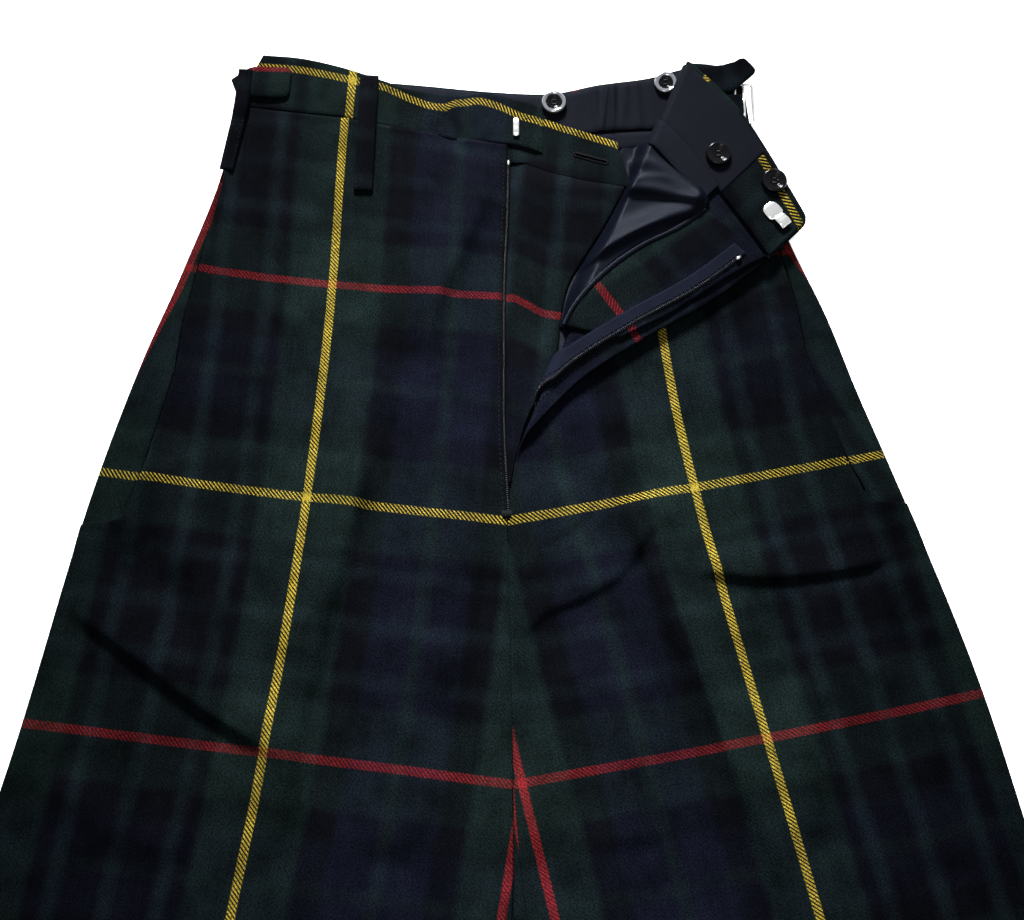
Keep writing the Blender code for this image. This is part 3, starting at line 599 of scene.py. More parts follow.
# Gathers of the elastic: place, height, half width and lean
GATHERS = (
    (15, -0.5, 0.7, 0.03),
    (43, 0.5, 5.0, 0.05),
    (54, 1.5, 2.4, -0.10),
    (59.5, 2.2, 1.5, 0.12),
    (65, 2.4, 1.7, 0.02),
    (72, 0.9, 3.0, 0.14),
    (81, 1.3, 2.4, -0.06),
    (90, 0.7, 4.0, -0.12),
)
LINE_STATIONS = np.linspace(-200.0, 100.0, 151)
SATIN_LEAN = 0.4


def beside_line(line_y, x, down):
    """Places in the weave along a sloping line and away from it, for points down mm below it."""
    heights = line_y(LINE_STATIONS)
    slope = np.gradient(heights, LINE_STATIONS)
    angle = np.arctan(np.interp(x, LINE_STATIONS, slope))
    along = np.interp(x, LINE_STATIONS, travel(LINE_STATIONS, heights))
    return along - down * np.sin(angle), down * np.cos(angle)


def band_grid(table, xs, shares):
    top = read(table, BAND_COLUMNS, "top", xs)
    seam = read(table, BAND_COLUMNS, "seam", xs)
    return seam + (top - seam) * shares


def lining_finish(name, colour, roughness, shine, repeat, satin):
    """Lining cloth: a close plain weave, or satin with long floats, over faint unevenness."""
    made, tree, shader = new_finish(name, roughness, specular=shine)
    weave = node(tree, "ShaderNodeUVMap", uv_map="weave").outputs[0]
    threads = node(tree, "ShaderNodeSeparateXYZ", {0: weave}).outputs

    def wave(place):
        return maths(tree, "SINE", maths(tree, "MULTIPLY", place, 2 * math.pi / repeat))

    if satin:
        grain = wave(maths(tree, "MULTIPLY_ADD", threads["X"], SATIN_LEAN, threads["Y"]))
    else:
        grain = maths(tree, "MULTIPLY", wave(threads["X"]), wave(threads["Y"]))
    sockets = {"Vector": weave, "Scale": 0.09, "Detail": 6.0}
    cloudy = node(tree, "ShaderNodeTexNoise", sockets, noise_dimensions="2D").outputs[0]
    tone = maths(tree, "MULTIPLY_ADD", cloudy, 0.5, 0.75)
    tone = maths(tree, "MULTIPLY_ADD", grain, 0.06, tone)
    tinted = node(tree, "ShaderNodeVectorMath", {0: colour, "Scale": tone}, operation="SCALE")
    height = maths(tree, "MULTIPLY_ADD", cloudy, 1.5, grain)
    sockets = {
        "Base Color": tinted.outputs[0],
        "Normal": bumped(tree, height, 0.25, 0.00015),
        "Specular Tint": (0.62, 0.76, 1.0, 1.0),
    }
    feed(tree, shader, sockets)
    return made


black_lining = lining_finish("black_lining", (0.0040, 0.0043, 0.0068), 0.6, 0.015, 0.8, False)


def waistband_back():
    shares = edged(8, 40.0)[:, None]
    start = BAND_RIGHT_END[1] + (BAND_RIGHT_END[0] - BAND_RIGHT_END[1]) * shares
    end = BAND_LEFT_END[1] + (BAND_LEFT_END[0] - BAND_LEFT_END[1]) * shares
    xs = start + (end - start) * edged(BAND_STEPS, 320.0)[None, :]
    ys = band_grid(BAND_BACK, xs, shares)
    down = read(BAND_BACK, BAND_COLUMNS, "top", xs) - ys - BACK_LINE_DOWN
    cloth(
        "waistband_back", tartan, upright(xs, ys, 0.0, CLOTH), (xs, down),
        (CREASE_AT_WAIST - xs, down),
    )


def waistband_lining_back():
    along = edged(220, LINING_BACK_LENGTH)[None, :]
    shares = (0.05 + 0.89 * edged(10, 36.0))[:, None]
    xs = np.repeat(LINING_BACK_X + LINING_BACK_LENGTH * along, len(shares), axis=0)
    ys = band_grid(BAND_BACK, xs, shares)
    folds = 0.25 * np.sin(xs * 0.11 + 2.0 * shares) + 0.25
    for x, height, half_width, lean in GATHERS:
        off = xs - x - lean * 40 * (shares - 0.5)
        folds = folds + height * (0.55 + 0.45 * shares) * np.exp(-((off / half_width) ** 2))
    under, over = upright(xs, ys, LAYER_2, LINING)
    over[..., 2] += folds
    under[..., 2] += folds * 0.6
    cloth(
        "waistband_lining_back", black_lining, (under, over), (xs, -ys),
    )


def waistband_curtain_back():
    along = edged(100, CURTAIN_BACK_LENGTH)[None, :]
    deep = 1 - edged(4, CURTAIN_BACK_DEPTH)[:, None]
    xs = np.repeat(CURTAIN_BACK_X + CURTAIN_BACK_LENGTH * along, len(deep), axis=0)
    seam = read(BAND_BACK, BAND_COLUMNS, "seam", xs)
    ys = seam + GAP - (CURTAIN_BACK_DEPTH + GAP) * deep
    under, over = upright(xs, ys, LAYER_2, LINING)
    wave = 0.3 + 0.3 * np.sin(xs * 0.17)
    under[..., 2] += wave * 0.6
    over[..., 2] += wave
    cloth(
        "waistband_curtain_back", black_lining, (under, over), (xs, -ys),
    )


waistband_back()
waistband_lining_back()
waistband_curtain_back()

# Pockets
# Slanted pocket mouths at both sides show a facing of the same wool beneath the front, cut
# with its own run of the sett, and a near-black strip along each mouth is painted shadow of
# its gap. The satin bag of the left pocket shows in the open fly.
# Pocket mouth: down and across
POCKET_MOUTH = (
    (32, -0.995),
    (84, -0.957),
    (130, -0.905),
    (180, -0.86),
    (230, -0.80),
    (280, -0.80),
    (318, -0.83),
)
POCKET_TOP = 60.0
POCKET_FOOT = 318.0
POCKET_CLOSED = 326.0
POCKET_LAP = 0.12
HALF_SETT = SETT_THREADS * THREAD / 2
RED_FROM_EDGE = 2.2
RIGHT_RED_LEAVES_Y, RIGHT_RED_SLOPE = 110.0, 0.075
LEFT_RED_CROSSES_Y, LEFT_RED_SLOPE = 138.0, 0.2
MOUTH_SLIT = 2.6
MOUTH_DIP = 1.15
MOUTH_DIP_WIDTH = 1.4
FACING_UNDER_FRONT = 16.0
POCKET_SHOWN = 92.0
# Width of the painted shadow strip along each pocket mouth, and how far it reaches under the front
MOUTH_SHADOW = 4.2
MOUTH_SHADOW_UNDER = 1.6
# Edge of the satin bag: y and x
BAG_EDGE = ((44, 15), (70, 19), (110, 27), (150, 44), (203, 64))
BAG_RIGHT_X = 104.0
BAG_FOOT_Y, BAG_LENGTH = 44.0, 159.0
FAR_OFF = 1e9
ROLL_FOOT = (-3.0, -18.0)
ROLL_TOP = (117.0, 268.0)
ROLL_ANGLE = math.atan2(ROLL_TOP[1] - ROLL_FOOT[1], ROLL_TOP[0] - ROLL_FOOT[0])
ROLL_ALONG = (math.cos(ROLL_ANGLE), math.sin(ROLL_ANGLE))


def past_roll(x, y):
    """Distance to the line that the fly folds back over, positive on the fly's side."""
    return (y - ROLL_FOOT[1]) * ROLL_ALONG[0] - (x - ROLL_FOOT[0]) * ROLL_ALONG[1]


def wrinkle(x, y, path, height, left, right, taper=14.0):
    """Ridge, or trough if its height is negative, along a smooth path.

    left and right are its half widths on each side of the path, seen along it.
    """
    path = np.array(path, float)
    knots = np.arange(len(path), dtype=float)
    fine = np.linspace(0, knots[-1], 6 * len(path))
    px, py = curve(knots, path[:, 0], fine), curve(knots, path[:, 1], fine)
    run = travel(px, py)
    best = np.full(np.shape(x), FAR_OFF)
    side, along = np.zeros(np.shape(x)), np.zeros(np.shape(x))
    for i in range(len(fine) - 1):
        dx, dy = px[i + 1] - px[i], py[i + 1] - py[i]
        length = math.hypot(dx, dy)
        part = ((x - px[i]) * dx + (y - py[i]) * dy) / length
        held = np.clip(part, 0.0 if i else -FAR_OFF, length if i < len(fine) - 2 else FAR_OFF)
        off_x, off_y = x - px[i] - held * dx / length, y - py[i] - held * dy / length
        distance = np.hypot(off_x, off_y)
        nearer = distance < best
        best = np.where(nearer, distance, best)
        side = np.where(nearer, dx * off_y - dy * off_x, side)
        along = np.where(nearer, run[i] + held, along)
    ends = ease((along + taper / 2) / taper) * ease((run[-1] + taper / 2 - along) / taper)
    width = np.where(side > 0, left, right)
    return height * ends * np.exp(-((best / width) ** 2))


def pocket_facing(name, sections, half):
    downs = np.linspace(POCKET_TOP, POCKET_FOOT + FACING_UNDER_FRONT, 100)
    xs, ys, mouths = [], [], []
    for down in downs:
        mouth = float(profile(POCKET_MOUTH, down))
        x, y = front_place(sections, down, -1 + (mouth + POCKET_LAP + 1) * edged(26, 30.0))
        mouths.append(front_place(sections, down, mouth))
        xs.append(x)
        ys.append(y)
    x, y, mouths = np.array(xs), np.array(ys), np.array(mouths)
    seam = np.stack([x[:, 0], y[:, 0]], axis=-1)
    inside = np.hypot(x - x[:, :1], y - y[:, :1])
    to_mouth = np.hypot(*(mouths - seam).T)[:, None] - inside
    if half < 0:
        red_at = RED_FROM_EDGE - RIGHT_RED_SLOPE * np.maximum(RIGHT_RED_LEAVES_Y - y, 0)
    else:
        red_at = RED_FROM_EDGE + LEFT_RED_SLOPE * (y - LEFT_RED_CROSSES_Y)
    under, over = upright(x, y, LAYER_2, CLOTH)
    over[..., 2] -= MOUTH_DIP * ease((MOUTH_SLIT - to_mouth) / MOUTH_DIP_WIDTH)
    cloth(
        name, tartan, (under, over), (half * -inside, downs[:, None]),
        (HALF_SETT - inside + red_at, downs[:, None]),
    )
    # Rows along which the mouth's painted shadow strip is drawn
    seen = (downs > POCKET_SHOWN) & (downs < POCKET_FOOT - 4)
    mouth_shadow_strip(name + "_piping", downs[seen], seam[seen], mouths[seen])


# Near-black strip along a pocket mouth: painted shadow of the gap under the front's edge
def mouth_shadow_strip(name, downs, seam, mouths):
    inward = mouths - seam
    inward /= np.linalg.norm(inward, axis=1, keepdims=True)
    width = MOUTH_SHADOW * ease((downs - POCKET_SHOWN) / 60)[:, None] * edged(4, 3.0)[None, :]
    places = mouths[:, None, :] + (MOUTH_SHADOW_UNDER - width)[..., None] * inward[:, None, :]
    faces = upright(places[..., 0], places[..., 1], LAYER_2 + CLOTH - MOUTH_DIP + 0.1, 0.5)
    fixed(wall(name, *faces, mouth_shade, (width, downs[:, None])))


black_satin = lining_finish("black_satin", (0.0011, 0.0015, 0.0034), 0.45, 0.042, 0.5, True)
# Near-black finish of the painted shadow strip along the pocket mouths
mouth_shade = new_finish("mouth_shade", 0.9, (0.0006, 0.0006, 0.0009), 0.005)[0]
pocket_facing("pocket_facing_right", RIGHT_SECTIONS, -1)
pocket_facing("pocket_facing_left", LEFT_SECTIONS, 1)

SATIN = 0.5
# Folds of the satin, which run together where the turned-back front pinches it: path, height,
# and half widths to the left and right of the path
SATIN_FOLDS = (
    (((122, 164), (108, 178), (90, 190), (74, 196)), 2.4, 6.0, 5.0),
    (((110, 172), (98, 180), (84, 182), (70, 178)), 1.0, 3.0, 3.0),
    (((122, 163), (104, 168), (84, 173), (60, 174)), 4.2, 2.8, 9.0),
    (((120, 160), (96, 153), (72, 142), (44, 124)), 4.6, 3.0, 9.0),
    (((104, 150), (82, 138), (60, 124)), 0.8, 3.0, 3.0),
    (((96, 146), (70, 128), (48, 106), (34, 90)), 2.4, 3.4, 8.0),
    (((62, 122), (46, 104), (32, 78), (24, 56)), 1.2, 4.0, 4.0),
)
# Free edge of the fly shield: y and x
SHIELD_EDGE = (
    (-14, -1),
    (5, 3),
    (31, 11),
    (47, 20),
    (67, 27),
    (91, 30),
    (116, 36),
    (130, 44),
    (150, 56),
    (180, 72),
)


def satin_height(x, y):
    """Height of the satin's folds, which flatten where they pass under the fly shield."""
    clear = ease((x - profile(SHIELD_EDGE, y) - 0.5) / 4)
    return clear * sum(wrinkle(x, y, *row) for row in SATIN_FOLDS)


def pocket_bag():
    y = (BAG_FOOT_Y + BAG_LENGTH * edged(90, BAG_LENGTH))[:, None]
    left = profile(BAG_EDGE, y)
    reach = 0.5 + 0.5 * ease((y - 40) / 60)
    x = left + (BAG_RIGHT_X - left) * edged(60, 70.0)[None, :] * reach
    y = np.broadcast_to(y, x.shape)
    folds = satin_height(x, y) * (1 - 0.85 * ease((past_roll(x, y) + 6) / 8))
    cloth(
        "pocket_bag_left", black_satin, upright(x, y, LAYER_2 + folds, SATIN),
        (x, -y),
    )


pocket_bag()

# Fly shield and under-lap
# The shield of the wool is sewn behind the zip of the right front, and the waistband runs on
# over it as the under-lap, which has a worked buttonhole near its end.
SHIELD_INNER_X = -14.0
SHIELD_TOP_X = 71.0
SHIELD_SEAM_GAP = 0.05
SHIELD_WARP_AT = 35.5
SHIELD_WARP_LEAN = 0.108
UNDERLAP = (
    (8, 229.5, 197),
    (20, 228.5, 192),
    (31, 224.5, 188.5),
    (43, 220.5, 185.5),
    (56, 216, 183),
    (66, 212.5, 181.5),
    (76, 208, 180),
)
UNDERLAP_LINE_DOWN = 2.6
UNDERLAP_START = -8.0
UNDERLAP_END = (76.0, 67.0)
# Red line across the shield: x and y
SHIELD_RED = ((-14, 105), (0, 105), (8, 101), (18, 95), (30, 92.5), (60, 90))


def shield_chart(x, y):
    """Place in the sett across the shield and under-lap, whose warp leans a little."""
    return x + SHIELD_WARP_AT - SHIELD_WARP_LEAN * (y - 200)


def fly_shield():
    share = edged(36, 40.0)
    xs, ys = [], []
    for y in np.linspace(-14, 178, 100):
        edge = float(profile(SHIELD_EDGE, y))
        xs.append(SHIELD_INNER_X + (edge - SHIELD_INNER_X) * share)
        ys.append(np.full_like(share, y))
    xs.append(SHIELD_INNER_X + (SHIELD_TOP_X - SHIELD_INNER_X) * share)
    ys.append(read(UNDERLAP, BAND_COLUMNS, "seam", xs[-1]) - SHIELD_SEAM_GAP)
    x, y = np.array(xs), np.array(ys)
    level = LAYER_2 + (ON_LINING - LAYER_2) * ease(x / 12)
    down = HALF_SETT + profile(SHIELD_RED, x) - y
    cloth(
        "fly_shield", tartan, upright(x, y, level, CLOTH), (x, down),
        (shield_chart(x, y), down), sewn="last",
    )


def underlap_line(x):
    return read(UNDERLAP, BAND_COLUMNS, "top", x) - UNDERLAP_LINE_DOWN


def underlap():
    share = edged(12, 32.0)[:, None]
    end = UNDERLAP_END[0] + (UNDERLAP_END[1] - UNDERLAP_END[0]) * share
    x = UNDERLAP_START + (end - UNDERLAP_START) * edged(70, 84.0)[None, :]
    y = band_grid(UNDERLAP, x, share)
    down = underlap_line(x) - y
    cloth(
        "waistband_underlap_right", tartan, upright(x, y, ON_LINING, CLOTH),
        beside_line(underlap_line, x, down),
        (shield_chart(x, y), down), sewn="first",
    )


fly_shield()
underlap()

# Right front
# The front leg from waistband to hem, pressed along the crease that follows a yellow line,
# lying on the back leg with its main creases and the soft folds between them.
SIDE_SINK_Y, SIDE_SINK_LENGTH = -40.0, 22.0
INNER_SINK_Y, INNER_SINK_LENGTH = -30.0, 85.0
HEM_SINK, HEM_SINK_Y, HEM_SINK_LENGTH = 1.2, -260.0, 420.0
SIDE_SHARE = 0.38
INNER_SHARE = 0.28
LEFT_INNER_Y, LEFT_INNER_LENGTH = 10.0, 30.0
FOLD_END_SHARES = (0.12, 0.10)
REST_BEND = 0.6
LIP_HEIGHT = 1.5
LIP_SHARE = 0.055

# Creases as they lie: path, height, and half widths to the left and right of the path
WRINKLES = (
    (((-284, -70), (-253, -91), (-213, -119), (-177, -145), (-141, -167)), 5.5, 22, 3.6, 46),
    (((112, -68), (150, -71), (203, -64), (246, -49)), 3.6, 16, 3.0),
    (((-2, -110), (19, -91), (45, -80), (66, -65), (80, -42)), 2.3, 12, 3.0),
    (((68, -26), (73, -40), (91, -87), (112, -142), (130, -189), (150, -240), (162, -290)), 7.0, 26, 6.5),
    (((-18, 172), (-32, 137), (-43, 112), (-50, 84)), 5.0, 6.5, 24, 56),
    (((-87, -2), (-91, -15), (-101, -61), (-110, -96), (-119, -139), (-127, -185)), 6.5, 6.5, 26, 60),
    (((77, 50), (66, 12), (53, -25), (40, -42), (20, -53)), -0.9, 3, 3),
    (((200, 10), (213, -25), (221, -44), (231, -52)), -2.6, 6, 5),
    (((-46, 236), (-40, 222), (-26, 203)), -2.2, 4, 6),
    (((-214, -2), (-205, -40), (-200, -70)), 3.0, 16, 8),
    (((-232, -20), (-224, -52)), 2.2, 7, 6),
    (((222, -46), (234, -96), (240, -150)), -3.0, 16, 12),
    (((-2, -50), (10, -75), (22, -100)), 2.0, 9, 14),
    (((-60, 60), (-88, 20), (-96, -24)), 1.8, 18, 22),
    (((60, 40), (84, 0), (92, -40)), 2.0, 18, 14),
    (((-255, -190), (-215, -214), (-180, -222)), 3.0, 16, 11),
    (((205, -120), (180, -168), (172, -215)), 2.6, 16, 18),
    (((40, -120), (62, -165), (70, -220)), 2.8, 14, 20),
    (((-40, -110), (-62, -160), (-70, -226)), 2.6, 20, 14),
    (((-170, 90), (-176, 40), (-190, -4)), 1.6, 14, 18),
    (((150, 90), (172, 40), (186, 0)), 1.6, 16, 14),
    (((-306, -430), (-262, -455), (-205, -462), (-160, -450)), 6.0, 18, 6),
    (((-60, -500), (-110, -520), (-165, -512)), 4.6, 6, 16),
    (((-300, -600), (-250, -640), (-190, -650)), 3.6, 16, 10),
    (((-140, -650), (-170, -700), (-180, -745)), 2.4, 15, 15),
    (((330, -450), (290, -470), (235, -470), (190, -455)), 6.0, 6, 18),
    (((95, -505), (140, -528), (196, -522)), 4.4, 16, 6),
    (((340, -600), (300, -645), (250, -652)), 3.6, 10, 16),
    (((220, -640), (240, -700), (250, -740)), 2.4, 15, 15),
)


def edge_x(sections, edge, y):
    places = column(sections, SECTION_COLUMNS, edge + "_y")[::-1]
    return curve(places, column(sections, SECTION_COLUMNS, edge + "_x")[::-1], y)


def drape(x, y):
    """Creases and slow waves of the fronts above their plain level."""
    total = sum(wrinkle(x, y, *row) for row in WRINKLES)
    waves = np.sin(x * 0.043 + 1.3 * np.sin(y * 0.021)) * np.sin(y * 0.031 + 0.7 * np.sin(x * 0.027))
    ripples = np.sin(x * 0.11 + y * 0.07 + 2.0 * np.sin(y * 0.037)) * np.sin(y * 0.09 - x * 0.05)
    return total + 1.0 * waves + 0.28 * ripples


def front_level(half, x, y):
    """Height of the underside of a front above the floor, at a point of the plane."""
    sections = RIGHT_SECTIONS if half < 0 else LEFT_SECTIONS
    side, inner = edge_x(sections, "side", y), edge_x(sections, "inner", y)
    part = np.clip((x - side) / (inner - side), 0.0, 1.0)
    side_sink = ease((SIDE_SINK_Y - y) / SIDE_SINK_LENGTH)
    inner_sink = ease((INNER_SINK_Y - y) / INNER_SINK_LENGTH)
    at_side = POCKET_LEVEL + (LAYER_2 - POCKET_LEVEL) * side_sink
    at_inner = FLY_LEVEL + (LAYER_2 - FLY_LEVEL) * inner_sink
    middle = FLY_LEVEL - HEM_SINK * ease((HEM_SINK_Y - y) / HEM_SINK_LENGTH)
    rise = ease(part / SIDE_SHARE)
    fall = ease((part - 1 + INNER_SHARE) / INNER_SHARE)
    if half > 0:
        fall = fall * ease((LEFT_INNER_Y - y) / LEFT_INNER_LENGTH)
    plain = at_side + (middle - at_side) * rise + (at_inner - middle) * fall
    from_side, from_inner = FOLD_END_SHARES
    away_from_edges = ease(part / from_side) * ease((1 - part) / from_inner)
    if half > 0:
        away_from_edges = away_from_edges * ease(-past_roll(x, y) / 16.0)
    level = plain + drape(x, y) * away_from_edges - LAYER_2
    resting = REST_BEND * np.exp(np.minimum(level / REST_BEND, 1.0) - 1.0)
    return LAYER_2 + np.where(level > REST_BEND, level, resting)


def keep_to_half(x, y, half):
    """Keep a leg on its own side of the seam, above the fork."""
    limit = centre_x(y)
    beyond = (x - limit) * half < 0
    return np.where((y > FORK_Y) & beyond, limit, x)


def outer_across(down):
    """The side edge of a front: the pocket mouth, then the side seam."""
    mouth = float(profile(POCKET_MOUTH, down))
    closed = float(ease((down - POCKET_FOOT) / (POCKET_CLOSED - POCKET_FOOT)))
    return mouth + (-1.0 - mouth) * closed


def mouth_lip(down, across):
    """Height that a front gains along its pocket mouth, which gapes a little."""
    start = np.array([[outer_across(row)] for row in np.ravel(down)])
    along = ease((down - 40) / 30) * ease((POCKET_FOOT + 2 - down) / 14)
    return LIP_HEIGHT * along * np.exp(-(((across - start) / LIP_SHARE) ** 2))


FRONT_ROWS = np.concatenate(
    [
        [SEAM_DOWN, SEAM_DOWN + EDGE_INSET],
        np.linspace(SEAM_DOWN + 3, POCKET_FOOT, 110),
        np.linspace(POCKET_FOOT, POCKET_CLOSED, 8)[1:],
        np.linspace(POCKET_CLOSED, KNEE_DOWN, 118)[1:],
        np.linspace(KNEE_DOWN, HEM_DOWN - EDGE_INSET, 84)[1:],
        [HEM_DOWN],
    ]
)
BAND_RIGHT = (
    (-178, 277, 238),
    (-161, 275, 236),
    (-138, 272, 232.5),
    (-105, 263, 228),
    (-82, 255, 223),
    (-60, 247, 218),
    (-40, 245.5, 213.5),
    (-17, 246, 211),
    (0, 242, 209),
    (20, 236.5, 203),
)


def front_right():
    share = edged(96, 200.0)
    xs, ys, parts = [], [], []
    for down in FRONT_ROWS:
        start = outer_across(down)
        across = start + (1 - start) * share
        x, y = front_place(RIGHT_SECTIONS, down, across)
        if down == SEAM_DOWN:
            y = read(BAND_RIGHT, BAND_COLUMNS, "seam", x) - GAP
        xs.append(keep_to_half(x, y, -1))
        ys.append(y)
        parts.append(across)
    x, y, across = np.array(xs), np.array(ys), np.array(parts)
    off, down = from_crease(x, y, across), FRONT_ROWS[:, None]
    level = front_level(-1, x, y) + mouth_lip(down, across)
    cloth(
        "front_right", tartan, upright(x, y, level, CLOTH), (off, down),
        (-off, down),
    )


front_right()

# Right waistband
# A band of the wool over a firm interlining, folded at its top edge just above a yellow line,
# with a small tuck where it bends over the fly.
BAND_RIGHT_TIP = 19.5
TIP_LENGTH = 5.0
TIP_PRESSED = 1.1
RIGHT_SEAM_EDGE = (-4.0, 208.0)
# Yellow line along the band: x and y
WAIST_LINE = (
    (-180, 268.5),
    (-160, 266),
    (-137, 263),
    (-105, 255.5),
    (-82, 250),
    (-66, 242),
    (-53, 236.5),
    (-44, 235.5),
    (-36, 239),
    (-24, 240),
    (-8, 236),
    (5, 229.5),
    (20, 225),
)
CREASE_LEAN = 8.0 / 144.0
CREASE_AT_BAND = (-103.0, 257.0)
# Creases of the band as they lie: path, height, and half widths to the left and right
BAND_CREASES = (
    (((-42, 232), (-36, 222), (-24, 203)), -1.4, 3.5, 4.5),
    (((-58, 250), (-52, 236), (-50, 222)), 0.9, 6.0, 8.0),
)


def waist_line(x):
    return profile(WAIST_LINE, x)


def waistband_right():
    shares = edged(18, 40.0)[:, None]
    start = BAND_RIGHT_END[1] + (BAND_RIGHT_END[0] - BAND_RIGHT_END[1]) * shares
    xs = start + (BAND_RIGHT_TIP - start) * edged(BAND_STEPS, 195.0)[None, :]
    ys = band_grid(BAND_RIGHT, xs, shares)
    limit_x, limit_y = RIGHT_SEAM_EDGE
    level = front_level(-1, np.minimum(xs, limit_x), np.minimum(ys, limit_y))
    for crease in BAND_CREASES:
        level = level + wrinkle(xs, ys, *crease)
    under, over = upright(xs, ys, level, CLOTH)
    over[..., 2] -= TIP_PRESSED * ease((xs - BAND_RIGHT_TIP + TIP_LENGTH) / TIP_LENGTH)
    down = waist_line(xs) - ys
    crease_x = CREASE_AT_BAND[0] + (ys - CREASE_AT_BAND[1]) * CREASE_LEAN
    cloth(
        "waistband_front_right", tartan, (under, over),
        beside_line(waist_line, xs, down),
        (crease_x - xs, down),
    )


waistband_right()

# Left front
# The same panel on the left, with its fly part rolled back over the leg along a straight
# line from the foot of the zip to the waist, so that its inside shows.
ROLL_RADIUS = 2.7
ROLL_STEPS = 12
LEAST_FLAP = 20.0
ROLL_SPARE = 1.06
ROLL_TURN = math.pi * ROLL_RADIUS
ROLL_MIDDLE = FLY_LEVEL + CLOTH / 2
FLAP_TOP = ROLL_MIDDLE + 2 * ROLL_RADIUS + CLOTH / 2
LEFT_SEAM_Y = 200.0
BAND_LEFT = (
    (-22, 239, 201.5),
    (0, 246.5, 206.5),
    (31, 257, 212.5),
    (65, 266, 219),
    (94, 268, 221.5),
    (117, 268, 222),
    (154, 262, 220.5),
)


def from_roll(along, out, z):
    """Point measured along the roll and out from it, over the turned-back part."""
    x = ROLL_FOOT[0] + ROLL_ALONG[0] * along + ROLL_ALONG[1] * out
    y = ROLL_FOOT[1] + ROLL_ALONG[1] * along - ROLL_ALONG[0] * out
    return np.stack([x, y, np.broadcast_to(z, np.shape(x))], axis=-1)


def turn_back(x, y, level, above):
    """Place of a point of the left front, with the fly part rolled over onto the leg.

    level is the height of the cloth's middle where it lies flat, and above is the point's
    height over that middle, on the outer side of the cloth.
    """
    past = past_roll(x, y)
    angle = np.clip(past / ROLL_RADIUS, 0.0, math.pi)
    radius = ROLL_RADIUS - above
    swing = radius * np.sin(angle) - np.maximum(past - ROLL_TURN, 0.0)
    shift = np.where(past > 0, swing - past, 0.0)
    rolled_z = ROLL_MIDDLE + ROLL_RADIUS - radius * np.cos(angle)
    return np.stack(
        [
            x - ROLL_ALONG[1] * shift,
            y + ROLL_ALONG[0] * shift,
            np.where(past > 0, rolled_z, level + above),
        ],
        axis=-1,
    )


def stations(place, start, stop, flat_steps, flap_steps):
    """Stations along one row of the left front, close together round the roll."""
    probe = np.linspace(start, stop, 601)
    x, y = place(probe)
    way = travel(x, y)
    past = past_roll(x, y)
    crossing = way[int(np.argmax(past > 0))] if (past > 0).any() else way[-1]
    crossing = min(crossing, way[-1] - LEAST_FLAP)
    turn = min(ROLL_TURN * ROLL_SPARE, (way[-1] - crossing) / 2)
    ways = np.concatenate(
        [
            [0.0],
            np.linspace(EDGE_INSET, crossing, flat_steps + 1),
            crossing + turn * np.arange(1, ROLL_STEPS + 1) / ROLL_STEPS,
            np.linspace(crossing + turn, way[-1] - EDGE_INSET, flap_steps + 1)[1:],
            [way[-1]],
        ]
    )
    return np.interp(ways, way, probe)


# The long fold of the left leg hides some of the cloth on its inner side
FOLD_ROW = 3
FOLD_HIDES = 6.5
FOLD_WIDTH = 10.0
FOLD_FROM_Y, FOLD_BEGINS = -20.0, 60.0
FOLD_TO_Y, FOLD_ENDS = -480.0, 150.0


def hidden_by_fold(x, y):
    path = np.array(WRINKLES[FOLD_ROW][0], float)
    past = np.interp(-y, -path[:, 1], path[:, 0]) - x
    reach = ease((FOLD_FROM_Y - y) / FOLD_BEGINS) * ease((y - FOLD_TO_Y) / FOLD_ENDS)
    return FOLD_HIDES * ease(past / FOLD_WIDTH + 0.5) * reach


def front_left():
    under, over, offs, hidden = [], [], [], []
    for down in FRONT_ROWS:

        def place(across, down=down):
            x, y = front_place(LEFT_SECTIONS, down, across)
            return np.where(y < ROLL_FOOT[1], keep_to_half(x, y, 1), x), y

        across = stations(place, outer_across(down), 1.0, 76, 34)
        x, y = place(across)
        offs.append(from_crease(x[None], y[None], across[None])[0])
        hidden.append(hidden_by_fold(x, y))
        if down == SEAM_DOWN:
            y = read(BAND_LEFT, BAND_COLUMNS, "seam", x) - GAP
        level = front_level(1, x, y) + CLOTH / 2
        level = level + mouth_lip(np.array([[down]]), across[None])[0]
        under.append(turn_back(x, y, level, -CLOTH / 2))
        over.append(turn_back(x, y, level, CLOTH / 2))
    off, down = np.array(offs), FRONT_ROWS[:, None]
    cloth(
        "front_left", tartan, (np.array(under), np.array(over)), (-off, down),
        (-off - np.array(hidden), down),
    )


front_left()

# Left waistband
# The band of the left front, folded back with it: the wool outside, which wraps over the top
# edge, and inside it the lining with its curtain and the wool facing of the fastening end.
FLY_END = -20.5
FLY_CORNER = 6.0
BAND_DEPTH = 38.0
LINING_END_X = 31.0
CURTAIN_END_X = 35.0
SIDE_X = 150.0
ON_CLOTH = CLOTH / 2 + GAP
LEFT_LINE_DOWN = 8.5
FACING_LINE_DOWN = 7.5
FACING_SETT_AT = 58.0
LEFT_CREASE_AT_BAND = (91.0, 230.0)


def fly_end(share):
    """Where a row of the band ends at the fly, with the corner at its top edge rounded."""
    into_corner = max(share * BAND_DEPTH - BAND_DEPTH + FLY_CORNER, 0.0)
    return FLY_END + FLY_CORNER - math.sqrt(max(FLY_CORNER**2 - into_corner**2, 0.0))


def left_band_row(share):
    """Unfolded place along the left waistband, from the side seam to the fly end."""
    side = BAND_LEFT_END[1] + (BAND_LEFT_END[0] - BAND_LEFT_END[1]) * share

    def place(part):
        x = side + (fly_end(share) - side) * part
        return x, band_grid(BAND_LEFT, x, share)

    return place


